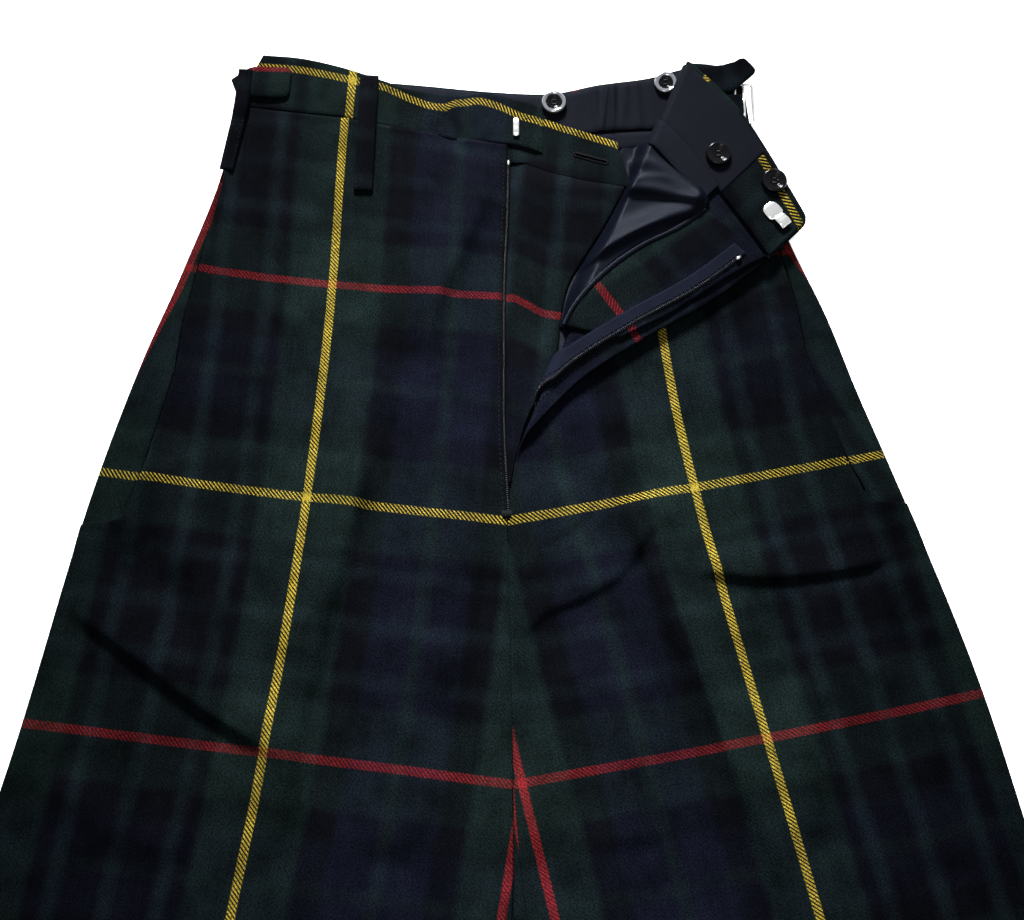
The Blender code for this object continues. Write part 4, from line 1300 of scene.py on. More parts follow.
def waistband_left():
    under, over, us, vs = [], [], [], []
    for share in edged(18, 40.0):
        place = left_band_row(share)
        x, y = place(stations(place, 0.0, 1.0, 34, 64))
        level = front_level(1, x, np.minimum(y, LEFT_SEAM_Y)) + CLOTH / 2
        under.append(turn_back(x, y, level, -CLOTH / 2))
        over.append(turn_back(x, y, level, CLOTH / 2))
        crease_x = LEFT_CREASE_AT_BAND[0] + (y - LEFT_CREASE_AT_BAND[1]) * CREASE_LEAN
        us.append(x - crease_x)
        vs.append(read(BAND_LEFT, BAND_COLUMNS, "top", x) - LEFT_LINE_DOWN - y)
    weave = (np.array(us), np.array(vs))
    cloth(
        "waistband_front_left", tartan, (np.array(under), np.array(over)), weave,
        weave,
    )


def on_left_band(shares, stretch, above, thickness, wave):
    """Faces and cloth places of a layer on the inside of the turned-back waistband.

    stretch is how far past the roll it may begin, the x that it may begin at, and the x that
    it ends at, both as the band lies unfolded; wave is its unevenness in height.
    """
    from_past, from_x, to_x = stretch
    under, over, us, vs = [], [], [], []
    for share in shares:
        place = left_band_row(share)
        probe = np.linspace(0, 1, 1201)
        x, y = place(probe)
        past = past_roll(x, y)
        at_x = np.interp(from_x, x[::-1], probe[::-1])
        start = max(np.interp(from_past, past, probe), at_x)
        turn = max(np.interp(ROLL_TURN, past, probe), start + 0.01)
        stop = np.interp(max(to_x, fly_end(share) + 1.0), x[::-1], probe[::-1])
        inset = EDGE_INSET / 170.0
        parts = np.concatenate(
            [
                [start, start + inset],
                np.linspace(start, turn, 8)[1:],
                np.linspace(turn, stop - inset, 50)[1:],
                [stop],
            ]
        )
        parts[1] = start + min(inset, (parts[2] - start) / 2)
        x, y = place(parts)
        lift = wave * (1 + np.sin(x * 0.13 + 4 * share) * np.sin(x * 0.05))
        lift = lift * ease((past_roll(x, y) - 9) / 12)
        under.append(turn_back(x, y, ROLL_MIDDLE, -above - 0.5 * lift))
        over.append(turn_back(x, y, ROLL_MIDDLE, -above - thickness - lift))
        us.append(x)
        vs.append(read(BAND_LEFT, BAND_COLUMNS, "top", x) - y)
    return (np.array(under), np.array(over)), (np.array(us), np.array(vs))


def left_band_linings():
    faces, weave = on_left_band(
        0.03 + 0.90 * edged(12, 36.0), (ROLL_TURN / 6, SIDE_X, LINING_END_X), ON_CLOTH, LINING,
        0.12,
    )
    cloth(
        "waistband_lining_front_left", black_lining, faces, weave,
    )
    faces, weave = on_left_band(
        -0.30 + 0.36 * edged(6, 14.0), (ROLL_TURN / 5, SIDE_X, CURTAIN_END_X),
        ON_CLOTH + LINING + GAP, LINING, 0.2,
    )
    cloth(
        "waistband_curtain_front_left", black_lining, faces, weave,
    )
    faces, weave = on_left_band(
        0.03 + 0.93 * edged(12, 36.0), (ROLL_TURN, LINING_END_X - GAP, FLY_END + 1.0), ON_CLOTH,
        CLOTH, 0.1,
    )
    cloth(
        "waistband_end_facing_left", tartan, faces, weave,
        (weave[0] + FACING_SETT_AT, weave[1] - FACING_LINE_DOWN),
    )


waistband_left()
left_band_linings()

# Fly facing and pocketing
# Inside the turned-back front: the facing of the wool that carries the zip, with a bound
# inner edge, and the black satin of the pocket between it and the roll.
FACING_COLUMNS = ("along", "bound_edge", "fly_edge", "slant")
FLY_FACING = (
    (106, -8.3, 27.0, 6),
    (112, -8.3, 32.0, 6),
    (131, -5.3, 48.0, 6),
    (145, -0.3, 57.5, 6),
    (175, 16.5, 78.0, 6),
    (192, 31.0, 90.0, 4),
    (213, 43.5, 93.5, -17),
)
FACING_LENGTH, FACING_WIDTH = 107.0, 55.0
FLY_DIRECTION = math.radians(31.8)
FACING_RED_AT = 119.0
FACING_WARP = 240.0
BINDING = 5.0
# Inner edge of the satin: place along the roll and reach out from it
POCKETING = (
    (142, -1.6),
    (160, 6.0),
    (180, 20.0),
    (192, 33.0),
    (204, 42.0),
    (216, 45.0),
    (230, 38.0),
    (242, 26.0),
)
POCKETING_START, POCKETING_LENGTH = 108.0, 136.0
SATIN_REACH = -20.0
SATIN_LOW = 2.4
SATIN_HIGH = 12.15
# Edge of the shield, from under which the satin comes up: along the roll and out from it
SATIN_START = (
    (100, -11),
    (113, -11.8),
    (139, -15.9),
    (155, -13.9),
    (178, -10.6),
    (212, -8),
    (240, -13),
)


def fly_facing():
    along = FLY_FACING[0][0] + FACING_LENGTH * edged(60, FACING_LENGTH)
    inside = read(FLY_FACING, FACING_COLUMNS, "bound_edge", along)
    outside = read(FLY_FACING, FACING_COLUMNS, "fly_edge", along)
    slant = read(FLY_FACING, FACING_COLUMNS, "slant", along)[:, None]
    share = edged(34, FACING_WIDTH)[None, :]
    out = inside[:, None] + (outside - inside)[:, None] * share
    along = along[:, None] + slant * share
    low = FLAP_TOP + GAP
    wave = 0.35 * (1 + np.sin(along * 0.10 + out * 0.05)) * ease((out + 8) / 12)
    upward = along * math.cos(FLY_DIRECTION) + out * math.sin(FLY_DIRECTION)
    across = out * math.cos(FLY_DIRECTION) - along * math.sin(FLY_DIRECTION)
    down = HALF_SETT + FACING_RED_AT - upward
    top = low + CLOTH + wave
    cloth(
        "fly_facing_left", tartan,
        (from_roll(along, out, low + wave * 0.6), from_roll(along, out, top)), (across, down),
        (FACING_WARP + across, down),
    )
    bound = int((share < BINDING / FACING_WIDTH).sum())
    facing_binding(along[:, :bound], out[:, :bound], top[:, :bound])


def facing_binding(along, out, top):
    crown = 0.35 * (1 - np.linspace(-1, 1, along.shape[1]) ** 2)
    under = from_roll(along, out - 0.3, top + 0.05)
    over = from_roll(along, out - 0.3, top + 0.45 + crown)
    fixed(wall("fly_facing_binding", under, over, black_satin, (out, along)))


def pocketing():
    along = POCKETING_START + POCKETING_LENGTH * edged(80, POCKETING_LENGTH)
    reach = profile(POCKETING, along)
    out = SATIN_REACH + (reach - SATIN_REACH)[:, None] * edged(56, 45.0)[None, :]
    along = np.broadcast_to(along[:, None], out.shape)
    start = profile(SATIN_START, along)
    low = SATIN_LOW + (SATIN_HIGH - SATIN_LOW) * ease((out - start) / (-2 - start))
    places = from_roll(along, out, low)
    folds = satin_height(places[..., 0], places[..., 1])
    folds = folds * (0.35 + 0.65 * ease((reach[:, None] - out) / 7)) * ease((242 - along) / 12)
    low = low + folds
    cloth(
        "pocketing_left", black_satin,
        (from_roll(along, out, low), from_roll(along, out, low + SATIN)), (out, along),
    )


fly_facing()
pocketing()

# Zip tapes
# Woven charcoal tapes with a fine rib, one sewn behind the edge of the right front and one
# to the facing of the left front, each with the coil along its free edge.
ZIP_FROM_EDGE = 11.0
ZIP_TAPE = 9.5
ZIP_SHOWN = 0.8
ZIP_RIGHT_Y = (-14.0, 200.0)
ZIP_LEFT_Y = (36.0, 194.0)
ZIP_PAST_ROLL = 2.8
ON_FACING = ON_CLOTH + CLOTH + GAP
zip_tape = lining_finish("zip_tape", (0.0042, 0.0052, 0.0100), 0.7, 0.015, 1.1, True)


def left_tape_edge(y):
    """Unfolded x of the tape's free edge and its width, at a height along the fly."""
    edge = edge_x(LEFT_SECTIONS, "inner", y)
    roll_x = ROLL_FOOT[0] + (y - ROLL_FOOT[1]) * ROLL_ALONG[0] / ROLL_ALONG[1]
    width = np.minimum(ZIP_TAPE, roll_x - ZIP_PAST_ROLL / ROLL_ALONG[1] - edge - ZIP_FROM_EDGE)
    return edge + ZIP_FROM_EDGE, width


def zip_tapes():
    y = np.linspace(*ZIP_RIGHT_Y, 90)[:, None]
    edge = edge_x(RIGHT_SECTIONS, "inner", y)
    x = edge - ZIP_FROM_EDGE + (ZIP_FROM_EDGE + ZIP_SHOWN) * edged(5, 11.8)[None, :]
    y = np.broadcast_to(y, x.shape)
    cloth(
        "zip_tape_right", zip_tape, upright(x, y, POCKET_LEVEL, LINING), (x, -y),
    )

    y = np.linspace(*ZIP_LEFT_Y, 110)[:, None]
    edge, width = left_tape_edge(y)
    x = edge + width * edged(10, 12.0)[None, :]
    y = np.broadcast_to(y, x.shape)
    under, over = (turn_back(x, y, ROLL_MIDDLE, -ON_FACING - lift) for lift in (0.0, LINING))
    cloth(
        "zip_tape_left", zip_tape, (under, over), (x - edge, -y),
    )


zip_tapes()

# Belt loops and adjuster straps
# Narrow folded strips of the wool: belt loops stitched across both ends, and the straps of
# the two side adjusters, the left one with its loose tail.
LOOP = 1.4
ON_FACETS = 0.15
STRAP_CORNER = 4.0
STRAP_CORNER_SPAN = 10.0
# Name, half, path, widths along it, slack, steps, the x up to which the front carries it, and
# the lift where it leaves the front: axis, start, length and height
STRIPS = (
    ("belt_loop_front_right", -1, ((-92, 258), (-94, 176)), (12, 12), 1.4, 44, -300, None),
    (
        "adjuster_strap_right", -1, ((-143, 253), (-166, 254), (-179, 249)), (22, 22, 14),
        0.9, 24, -300, None,
    ),
    (
        "belt_loop_side_right", -1, ((-172, 262), (-173.5, 236), (-181, 191)), (9, 9, 9),
        0.8, 40, -176, (1, 224, 12, 1.9),
    ),
    (
        "adjuster_strap_left", 1, ((119, 254), (138, 255), (148, 261), (154, 266)),
        (20, 20, 15, 14), 0.0, 30, 146, (0, 128, 10, 1.7),
    ),
    (
        "belt_loop_side_left", 1, ((142.5, 243), (147, 190)), (9, 9), 0.0, 30, 148,
        (1, 205, 14, 2.2),
    ),
)
# Place in the sett across and along each strip, and whether its length follows the weft
STRIP_CHARTS = {
    "belt_loop_front_right": (81.0, 26.0, -1.0),
    "adjuster_strap_right": (14.0, 136.5, 1.0),
    "belt_loop_side_right": (81.0, 30.0, -1.0),
    "adjuster_strap_left": (48.0, 62.0, 1.0),
    "belt_loop_side_left": (81.0, 30.0, -1.0),
}


def front_top(half, x, y):
    """Height of the upper side of a front or its waistband."""
    seam_y = RIGHT_SEAM_EDGE[1] if half < 0 else LEFT_SEAM_Y
    return front_level(half, x, np.minimum(y, seam_y)) + CLOTH + ON_FACETS


def round_end(name, share, length):
    """Share of a strap's width that is left near its loose end, which is rounded."""
    if not name.startswith("adjuster"):
        return np.ones_like(share)
    from_end = length * (share if name.endswith("right") else 1 - share)
    near = np.clip(1 - from_end / STRAP_CORNER, 0.0, 1.0)
    return 1 - STRAP_CORNER * (1 - np.sqrt(1 - near**2)) / STRAP_CORNER_SPAN


def strip(name, half, path, widths, slack, steps, x_limit, lift):
    path = np.array(path, float)
    lengths = travel(*path.T)
    share = edged(steps, lengths[-1])
    along = lengths[-1] * share
    x, y = np.interp(along, lengths, path[:, 0]), np.interp(along, lengths, path[:, 1])
    direction = np.stack([np.gradient(x), np.gradient(y)], axis=-1)
    direction /= np.linalg.norm(direction, axis=-1, keepdims=True)
    width = np.interp(along, lengths, widths) * round_end(name, share, lengths[-1])
    off = width[:, None] * (edged(8, width.mean()) - 0.5)[None, :]
    xs = x[:, None] - direction[:, 1:] * off
    ys = y[:, None] + direction[:, :1] * off
    over_x = np.maximum(xs, x_limit) if half < 0 else np.minimum(xs, x_limit)
    level = front_top(half, over_x, ys) + GAP + slack * np.sin(math.pi * share)[:, None]
    if lift:
        axis, start, length, height = lift
        level = level + height * ease(((xs, ys)[axis] - start) / length)
    crown = 0.45 * (1 - (2 * off / width[:, None]) ** 4)
    under, over = upright(xs, ys, level, LOOP)
    over[..., 2] += crown
    across_at, along_at, sense = STRIP_CHARTS[name]
    if sense < 0:
        chart = (across_at + off, along_at + along[:, None])
    else:
        chart = (across_at + along[:, None], along_at - off)
    cloth(
        name, tartan, (under, over), (off, along[:, None]), chart,
    )


for row in STRIPS:
    strip(*row)

# Buttons
# Four-hole trouser buttons of polished black plastic with a raised rim, sewn through two
# pairs of holes; the rims of the two on the back are worn to a silvery grey.
GATHER_TOP = 0.75
# Name, x, y, z of the underside, radius, height and whether the rim is worn
BUTTONS = (
    ("brace_button_back", 27.0, 240.0, ON_LINING + 0.6, 8.0, 3.0, True),
    ("brace_button_side", 99.5, 254.5, ON_LINING + GATHER_TOP, 7.5, 2.2, True),
    ("brace_button_front_left", 130.0, 198.0, FLAP_TOP + GAP + LINING + GAP, 8.0, 3.0, False),
    ("inner_button_left", 164.0, 179.0, FLAP_TOP + GAP + CLOTH + GAP, 8.0, 3.0, False),
)
# Top of a button: radius and height, as shares of the whole
BUTTON_TOP = (
    (0.00, 0.50),
    (0.30, 0.50),
    (0.42, 0.55),
    (0.48, 0.68),
    (0.56, 0.72),
    (0.66, 0.78),
    (0.74, 0.92),
    (0.82, 1.00),
    (0.90, 0.96),
    (0.96, 0.82),
    (1.00, 0.50),
)
BUTTON_SIDES = 72
HOLE_AWAY = 1.45
HOLE_RADIUS = 0.75
HOLE_DEPTH = 1.0
THREAD_RADIUS = 0.32
BUTTON_BLACK = (0.0020, 0.0020, 0.0026)
WORN_RIM = (0.30, 0.31, 0.33)
WORN_FROM = (0.62, 0.72)
SCUFF_REACH = 0.2


def black_button_finish(name, worn):
    made, tree, shader = new_finish(name, 0.1, BUTTON_BLACK, 0.11)
    if worn:
        place = node(tree, "ShaderNodeUVMap", uv_map="weave").outputs[0]
        radius = node(tree, "ShaderNodeSeparateXYZ", {0: place}).outputs[0]
        coordinates = node(tree, "ShaderNodeTexCoord").outputs["Object"]
        scuffs = node(tree, "ShaderNodeTexNoise", {"Vector": coordinates, "Scale": 220.0}).outputs[0]
        scuffs = maths(tree, "SUBTRACT", scuffs, 0.5)
        rim = maths(tree, "MULTIPLY_ADD", scuffs, SCUFF_REACH, radius)
        rim = smooth_step(tree, rim, *WORN_FROM)
        sockets = {
            "Base Color": mixed(tree, (*BUTTON_BLACK, 1.0), (*WORN_RIM, 1.0), rim),
            "Metallic": maths(tree, "MULTIPLY", rim, 0.85),
        }
        feed(tree, shader, sockets)
    return made


def round_solid(name, x, y, z, top, finish, uv_radius):
    """Closed round piece with a flat underside, from radius and height pairs over its top."""
    rings, turns = len(top), np.linspace(0, 2 * math.pi, BUTTON_SIDES, endpoint=False)
    heights = np.array([[height(r, t) for t in turns] for r, height in top])
    radii = np.array([r for r, _ in top])[:, None] * np.ones((1, BUTTON_SIDES))
    over = np.stack([x + radii * np.cos(turns), y + radii * np.sin(turns), z + heights], axis=-1)
    under = np.stack([over[..., 0], over[..., 1], np.full(radii.shape, float(z))], axis=-1)
    points = to_world(np.concatenate([over.reshape(-1, 3), under.reshape(-1, 3)]))
    count = rings * BUTTON_SIDES
    faces = []
    for ring in range(rings - 1):
        for k in range(BUTTON_SIDES):
            n = (k + 1) % BUTTON_SIDES
            a, b = ring * BUTTON_SIDES + k, ring * BUTTON_SIDES + n
            c, d = b + BUTTON_SIDES, a + BUTTON_SIDES
            faces.append((a, d, c, b))
            faces.append((a + count, b + count, c + count, d + count))
    last = (rings - 1) * BUTTON_SIDES
    for k in range(BUTTON_SIDES):
        n = (k + 1) % BUTTON_SIDES
        faces.append((last + k, last + k + count, last + n + count, last + n))
    faces.append(tuple(range(BUTTON_SIDES)))
    faces.append(tuple(reversed(range(count, count + BUTTON_SIDES))))
    mesh = bpy.data.meshes.new(name)
    mesh.from_pydata([tuple(point) for point in points], [], faces)
    layer = mesh.uv_layers.new(name="weave")
    share = np.tile((radii / uv_radius).ravel(), 2)
    for loop in mesh.loops:
        layer.data[loop.index].uv = (share[loop.vertex_index], 0.0)
    mesh.shade_smooth()
    mesh.materials.append(finish)
    return linked(name, mesh)


def tube(verts, faces, path, radius, sides=8):
    """Adds a round closed tube along a path to lists of points and faces."""
    path = np.asarray(path, float)
    along = np.gradient(path, axis=0)
    along /= np.linalg.norm(along, axis=1, keepdims=True)
    side = np.cross(along, (0.0, 0.0, 1.0))
    side[np.linalg.norm(side, axis=1) < 1e-6] = (1.0, 0.0, 0.0)
    side /= np.linalg.norm(side, axis=1, keepdims=True)
    above = np.cross(side, along)
    start = len(verts)
    for point, s, a in zip(path, side, above):
        for k in range(sides):
            turn = 2 * math.pi * k / sides
            verts.append(point + radius * (math.cos(turn) * s + math.sin(turn) * a))
    for i in range(len(path) - 1):
        for k in range(sides):
            n = (k + 1) % sides
            low = start + i * sides
            faces.append((low + k, low + n, low + sides + n, low + sides + k))
    faces.append(tuple(start + k for k in reversed(range(sides))))
    faces.append(tuple(start + (len(path) - 1) * sides + k for k in range(sides)))


def drawn(name, verts, faces, finish, cad_node=None):
    """Piece from points in millimetres, fixed to the frame."""
    mesh = bpy.data.meshes.new(name)
    mesh.from_pydata([tuple(point) for point in to_world(verts)], [], faces)
    mesh.shade_smooth()
    mesh.materials.append(finish)
    fixed(linked(name, mesh), cad_node)


thread_finish = new_finish("black_thread", 0.7, (0.0032, 0.0036, 0.0048), 0.06)[0]
grey_thread_finish = new_finish("grey_thread", 0.6, (0.030, 0.031, 0.037), 0.1)[0]
coil_finish = new_finish("zip_coil", 0.45, (0.0060, 0.0065, 0.0090), 0.25)[0]


def buttons():
    plain_finish = black_button_finish("black_button", False)
    worn_finish = black_button_finish("black_button_worn", True)
    holes = [(HOLE_AWAY * sx, HOLE_AWAY * sy) for sx in (-1, 1) for sy in (-1, 1)]
    verts, faces = [], []
    for name, x, y, z, radius, height, worn in BUTTONS:

        def top_height(r, t, radius=radius, height=height):
            level = height * float(profile(BUTTON_TOP, r / radius))
            px, py = r * math.cos(t), r * math.sin(t)
            near = min(math.hypot(px - hx, py - hy) for hx, hy in holes)
            return level - HOLE_DEPTH * float(ease((HOLE_RADIUS + 0.15 - near) / 0.3))

        radii = np.concatenate([np.linspace(0.05, 0.4, 18), np.linspace(0.42, 1.0, 26)]) * radius
        top = [(r, top_height) for r in radii]
        finish = worn_finish if worn else plain_finish
        fixed(round_solid(name + "_look", x, y, z, top, finish, radius), name)
        turn = np.linspace(0, math.pi, 12)
        for hole_y in (-HOLE_AWAY, HOLE_AWAY):
            thread_z = z + height * 0.42 + 0.75 * np.sin(turn)
            path = [x - HOLE_AWAY * np.cos(turn), np.full(12, y + hole_y), thread_z]
            tube(verts, faces, np.stack(path, axis=-1), THREAD_RADIUS)
    drawn("button_threads", verts, faces, grey_thread_finish)


buttons()

# Hook, bar and buckle
# Pressed nickel-plated fittings: the flat hook on the left band, its bar on the right one,
# and the wire slide buckle of the left adjuster.
METAL = 1.0
METAL_COLUMNS = ("along", "half_width", "height")
HOOK_SECTIONS = (
    (0, 1.0, -0.2),
    (0.5, 2.9, 0),
    (1.8, 4.6, 0.25),
    (4, 5.3, 0.35),
    (8, 5.4, 0.3),
    (9.6, 5.2, 0.1),
    (10.4, 4.4, 0.1),
    (11.4, 3.9, 1.2),
    (12.2, 3.8, 1.8),
    (17.8, 3.8, 1.7),
    (19.2, 3.7, 1.0),
)
HOOK_START, HOOK_ANGLE = (158.5, 163.5), math.radians(-52)
BAR_SECTIONS = (
    (0, 1.2, 0),
    (0.8, 1.9, 0.2),
    (2.2, 2.0, 0.7),
    (6.5, 2.0, 0.9),
    (10.8, 2.0, 0.7),
    (12.2, 1.9, 0.2),
    (13, 1.2, 0),
)
BAR_START, BAR_ANGLE = (2.6, 227.5), math.radians(-90)
BUCKLE_X = (143.6, 149.0, 154.9)
BUCKLE_Y = (223.6, 251.7)
BUCKLE_WIRE = 0.85
BUCKLE_CORNER = 2.2
nickel, nickel_tree, nickel_shader = new_finish("nickel", 0.2, (0.80, 0.80, 0.78))
feed(nickel_tree, nickel_shader, {"Metallic": 1.0})


def pressed(name, start, angle, sections, base):
    along = np.linspace(0, sections[-1][0], 60)[:, None]
    across = np.linspace(-1, 1, 15)[None, :]
    off = read(sections, METAL_COLUMNS, "half_width", along) * across
    height = read(sections, METAL_COLUMNS, "height", along)
    x = start[0] + along * math.cos(angle) - off * math.sin(angle)
    y = start[1] + along * math.sin(angle) + off * math.cos(angle)
    crown = 0.3 * (1 - across**4) - 0.1
    under = np.stack([x, y, base + height + 0 * off], axis=-1)
    over = np.stack([x, y, base + height + METAL + crown + 0 * off], axis=-1)
    fixed(wall(name + "_look", under, over, nickel, None), name)


def slide_buckle():
    verts, faces = [], []
    z = POCKET_LEVEL + CLOTH + GAP + ON_FACETS + BUCKLE_WIRE
    left, middle, right = BUCKLE_X
    low, high = BUCKLE_Y
    corners = (
        (right - BUCKLE_CORNER, low + BUCKLE_CORNER, -90),
        (right - BUCKLE_CORNER, high - BUCKLE_CORNER, 0),
        (left + BUCKLE_CORNER, high - BUCKLE_CORNER, 90),
        (left + BUCKLE_CORNER, low + BUCKLE_CORNER, 180),
    )
    path = []
    for x, y, start in corners:
        for turn in np.radians(start + np.linspace(0, 90, 7)):
            path.append((x + BUCKLE_CORNER * math.cos(turn), y + BUCKLE_CORNER * math.sin(turn), z))
    path.append(path[0])
    tube(verts, faces, path, BUCKLE_WIRE, 12)
    bar = [(middle, low, z), (middle, (low + high) / 2, z + 0.3), (middle, high, z)]
    tube(verts, faces, bar, BUCKLE_WIRE, 12)
    drawn("adjuster_buckle_left_look", verts, faces, nickel, "adjuster_buckle_left")


pressed("trouser_hook_left", HOOK_START, HOOK_ANGLE, HOOK_SECTIONS, FLAP_TOP + GAP + CLOTH + GAP)
pressed("hook_bar_right", BAR_START, BAR_ANGLE, BAR_SECTIONS, FLY_LEVEL + CLOTH + GAP)
slide_buckle()

# Zip coils and sewing
# The nylon coil along each tape, its metal top stops, the tack at the foot of the zip, the
# worked buttonhole of the under-lap and the rows of stitches, all small repeats on a path. A
# near-black tube in the buttonhole's slit is painted shade.
COIL_PITCH = 1.3
COIL_HALF_WIDTH = 0.75
COIL_HALF_HEIGHT = 0.6
STITCH_LENGTH = 2.2
STITCH_PITCH = 3.0
STITCH_RADIUS = 0.22
STITCH_ARCH = ((-0.5, -0.15), (-0.25, 0.1), (0.0, 0.14), (0.25, 0.1), (0.5, -0.15))
LOOP_ROWS = (
    (((-92, 255), (-94, 179)), 12),
    (((-171, 258), (-173.5, 236), (-180, 195)), 9),
)
BUTTONHOLE = ((40.5, 202.8), (59.5, 197.2))
BUTTONHOLE_WIDTH = 3.6
BUTTONHOLE_PITCH = 0.55
BUTTONHOLE_THREAD = 0.27
TACK_X, TACK_Y = (-5.5, -0.5), -33.5
TACK_REACH = 2.4
RIGHT_STOP_Y, LEFT_STOP_Y = 195.0, 188.0
LEFT_SEWN_Y = np.linspace(ZIP_LEFT_Y[0] - 10, ZIP_LEFT_Y[1] - 4, 160)


def repeat_tree():
    """Copies of a small piece along each path of a mesh, turned to follow it."""
    tree = bpy.data.node_groups.new("Repeat along a path", "GeometryNodeTree")
    for name, kind in (
        ("Geometry", "Geometry"), ("Spacing", "Float"), ("Piece", "Object"), ("Finish", "Material"),
    ):
        tree.interface.new_socket(name, in_out="INPUT", socket_type="NodeSocket" + kind)
    tree.interface.new_socket("Geometry", in_out="OUTPUT", socket_type="NodeSocketGeometry")
    given = node(tree, "NodeGroupInput").outputs
    curves = node(tree, "GeometryNodeMeshToCurve", {"Mesh": given["Geometry"]})
    sockets = {"Curve": curves.outputs["Curve"], "Length": given["Spacing"]}
    even = node(tree, "GeometryNodeResampleCurve", sockets, mode="LENGTH")
    sockets = {"Vector": node(tree, "GeometryNodeInputTangent").outputs[0]}
    turned = node(tree, "FunctionNodeAlignRotationToVector", sockets, axis="X", pivot_axis="Z")
    piece = node(tree, "GeometryNodeObjectInfo", {"Object": given["Piece"]})
    sockets = {
        "Points": even.outputs["Curve"], "Instance": piece.outputs["Geometry"],
        "Rotation": turned.outputs["Rotation"],
    }
    copies = node(tree, "GeometryNodeInstanceOnPoints", sockets)
    real = node(tree, "GeometryNodeRealizeInstances", {"Geometry": copies.outputs["Instances"]})
    sockets = {"Geometry": real.outputs["Geometry"], "Material": given["Finish"]}
    finished = node(tree, "GeometryNodeSetMaterial", sockets)
    node(tree, "NodeGroupOutput", {"Geometry": finished.outputs["Geometry"]})
    return tree


repeat_along = repeat_tree()


def small_piece(name, path, radius, closed=False):
    """Small tube about the origin, in metres, for the repeats."""
    verts, faces = [], []
    tube(verts, faces, path, radius, 6)
    if closed:
        faces = faces[:-2]
        last = len(path) - 1
        faces.extend((last * 6 + k, last * 6 + (k + 1) % 6, (k + 1) % 6, k) for k in range(6))
    mesh = bpy.data.meshes.new(name)
    mesh.from_pydata([tuple(np.array(v) * MM) for v in verts], [], faces)
    mesh.shade_smooth()
    return linked(name, mesh)


def repeated(name, paths, piece, spacing, finish):
    verts, edges = [], []
    for path in paths:
        start = len(verts)
        verts.extend(tuple(point) for point in to_world(path))
        edges.extend((start + k, start + k + 1) for k in range(len(path) - 1))
    mesh = bpy.data.meshes.new(name)
    mesh.from_pydata(verts, edges, [])
    guide = linked(name, mesh)
    modifier = guide.modifiers.new("repeat", "NODES")
    modifier.node_group = repeat_along
    values = {"Spacing": spacing * MM, "Piece": piece, "Finish": finish}
    for item in repeat_along.interface.items_tree:
        if item.in_out == "INPUT" and item.name in values:
            modifier[item.identifier] = values[item.name]
    bpy.context.view_layer.update()
    graph = bpy.context.evaluated_depsgraph_get()
    made = bpy.data.meshes.new_from_object(guide.evaluated_get(graph), depsgraph=graph)
    fixed(linked(name + "_row", made))
    bpy.data.objects.remove(guide)


def on_front(half, xs, ys, above):
    """Path on the upper side of a front or its waistband."""
    xs, ys = np.broadcast_arrays(np.asarray(xs, float), np.asarray(ys, float))
    return np.stack([xs, ys, front_top(half, xs, ys) - ON_FACETS + above], axis=-1)


def on_left_tape(y, off, lift):
    """Path beside the free edge of the left tape, lifted from its upper face."""
    edge, _ = left_tape_edge(y)
    return turn_back(edge + off, y, ROLL_MIDDLE, -(ON_FACING + LINING) - lift)


def zip_coils():
    turn = np.linspace(0, 2 * math.pi, 12, endpoint=False)
    loop = [0.25 * np.sin(turn), COIL_HALF_WIDTH * np.cos(turn), COIL_HALF_HEIGHT * np.sin(turn)]
    loop = small_piece("coil_loop", np.stack(loop, axis=-1), 0.3, True)
    y = np.linspace(ZIP_RIGHT_Y[0] - 18, ZIP_RIGHT_Y[1] - 3, 160)
    edge = edge_x(RIGHT_SECTIONS, "inner", y)
    level = np.full_like(y, POCKET_LEVEL + LINING + 0.55)
    right_coil = np.stack([edge + ZIP_SHOWN + 0.2, y, level], axis=-1)
    left_coil = on_left_tape(LEFT_SEWN_Y, 0.3, -0.1)
    repeated("zip_coils", [right_coil, left_coil], loop, COIL_PITCH, coil_finish)
    bpy.data.objects.remove(loop)


def fly_stitches():
    edge, _ = left_tape_edge(LEFT_SEWN_Y)
    seam_line = turn_back(edge - 3.2, LEFT_SEWN_Y, ROLL_MIDDLE, -(CLOTH / 2 + 0.1))
    guard_line = on_left_tape(LEFT_SEWN_Y, 2.4, 0.1)
    y = np.linspace(-30, 196, 200)
    fly_line = on_front(-1, edge_x(RIGHT_SECTIONS, "inner", y) - 2.0, y, 0.1)
    repeated(
        "fly_stitches", [seam_line, guard_line, fly_line], stitch, STITCH_PITCH,
        thread_finish,
    )


def loop_stitches():
    rows = []
    for path, width in LOOP_ROWS:
        path = np.array(path, float)
        lengths = travel(*path.T)
        along = np.linspace(0, lengths[-1], 40)
        x, y = np.interp(along, lengths, path[:, 0]), np.interp(along, lengths, path[:, 1])
        slack = 1.1 * np.sin(math.pi * along / lengths[-1])
        for side in (-1, 1):
            row = on_front(-1, x + side * (width / 2 - 1.6), y, LOOP + GAP + 0.35)
            row[:, 2] += slack
            rows.append(row)
    repeated("loop_stitches", rows, stitch, STITCH_PITCH, thread_finish)


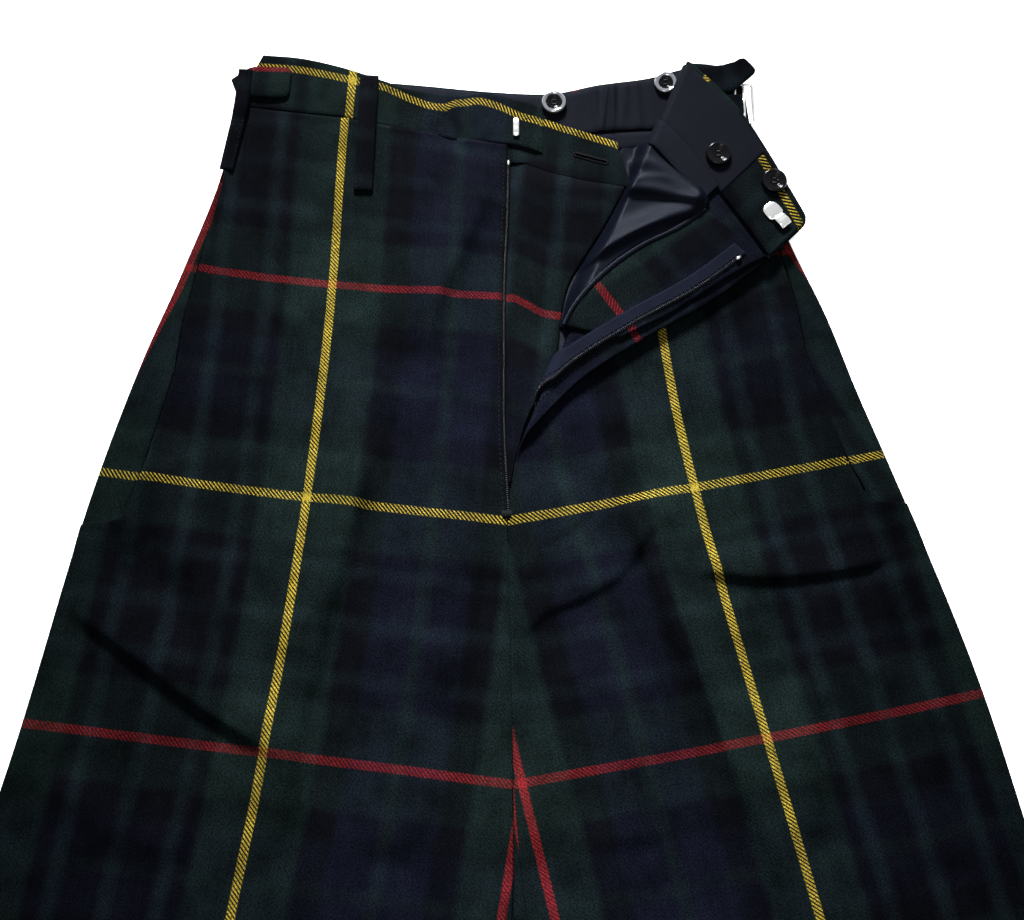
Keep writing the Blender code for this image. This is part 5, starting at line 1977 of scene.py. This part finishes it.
def buttonhole_and_tack():
    (x0, y0), (x1, y1) = BUTTONHOLE
    length = math.hypot(x1 - x0, y1 - y0)
    ux, uy = (x1 - x0) / length, (y1 - y0) / length
    half = BUTTONHOLE_WIDTH / 2
    z = ON_LINING + CLOTH
    verts, faces = [], []
    for step in np.arange(0, length + 0.3, BUTTONHOLE_PITCH):
        for side in (-1, 1):
            path = [
                (x0 + ux * step - uy * off, y0 + uy * step + ux * off, z + lift)
                for off, lift in (
                    (side * half * 0.3, 0.02), (side * half * 0.65, 0.42), (side * half, 0.02),
                )
            ]
            tube(verts, faces, path, BUTTONHOLE_THREAD, 6)
    for end_x, end_y, sense in ((x0, y0, -1), (x1, y1, 1)):
        for turn in np.linspace(-math.pi / 2, math.pi / 2, 7):
            dx = sense * ux * math.cos(turn) - uy * math.sin(turn)
            dy = sense * uy * math.cos(turn) + ux * math.sin(turn)
            path = [
                (end_x + dx * r, end_y + dy * r, z + lift)
                for r, lift in ((half * 0.3, 0.02), (half * 0.7, 0.42), (half, 0.02))
            ]
            tube(verts, faces, path, BUTTONHOLE_THREAD, 6)
    for x in np.linspace(*TACK_X, 9):
        top = float(front_top(-1, x, TACK_Y))
        path = [
            (x, TACK_Y + off, top + lift)
            for off, lift in ((-TACK_REACH, -0.1), (0.0, 0.35), (TACK_REACH, -0.1))
        ]
        tube(verts, faces, path, 0.3, 6)
    drawn("buttonhole_and_tack", verts, faces, thread_finish)


# Near-black tube along the buttonhole's slit: painted shade of the opening, where the cloth beneath lies
# in shadow
def buttonhole_slot():
    verts, faces = [], []
    z = ON_LINING + CLOTH + 0.05
    path = [(*(np.array(BUTTONHOLE).T @ shares), z) for shares in ((1, 0), (0.5, 0.5), (0, 1))]
    tube(verts, faces, path, 0.75, 8)
    slot_shade_finish = new_finish("buttonhole_slot", 1.0, (0.0005, 0.0005, 0.0006), 0.0)[0]
    drawn("buttonhole_slot", verts, faces, slot_shade_finish)


def zip_stops():
    verts, faces = [], []
    x, z = float(edge_x(RIGHT_SECTIONS, "inner", RIGHT_STOP_Y)), POCKET_LEVEL + LINING + 0.9
    path = [
        (x + off, RIGHT_STOP_Y + rise, z + lift)
        for off, rise, lift in ((0.9, 0.0, 0.0), (1.0, 1.6, 0.2), (1.1, 3.2, 0.0))
    ]
    tube(verts, faces, path, 0.95, 10)
    middle = on_left_tape(np.array(LEFT_STOP_Y), 0.3, 0.5)
    turn = FLY_DIRECTION + 0.1
    half = 1.5 * np.array([math.cos(turn), math.sin(turn), 0.0])
    tube(verts, faces, [middle - half, middle + (0, 0, 0.2), middle + half], 1.0, 10)
    drawn("zip_stops", verts, faces, nickel)


stitch_path = [(STITCH_LENGTH * share, 0.0, lift) for share, lift in STITCH_ARCH]
stitch = small_piece("stitch", stitch_path, STITCH_RADIUS)
zip_coils()
fly_stitches()
loop_stitches()
bpy.data.objects.remove(stitch)
buttonhole_and_tack()
buttonhole_slot()
zip_stops()
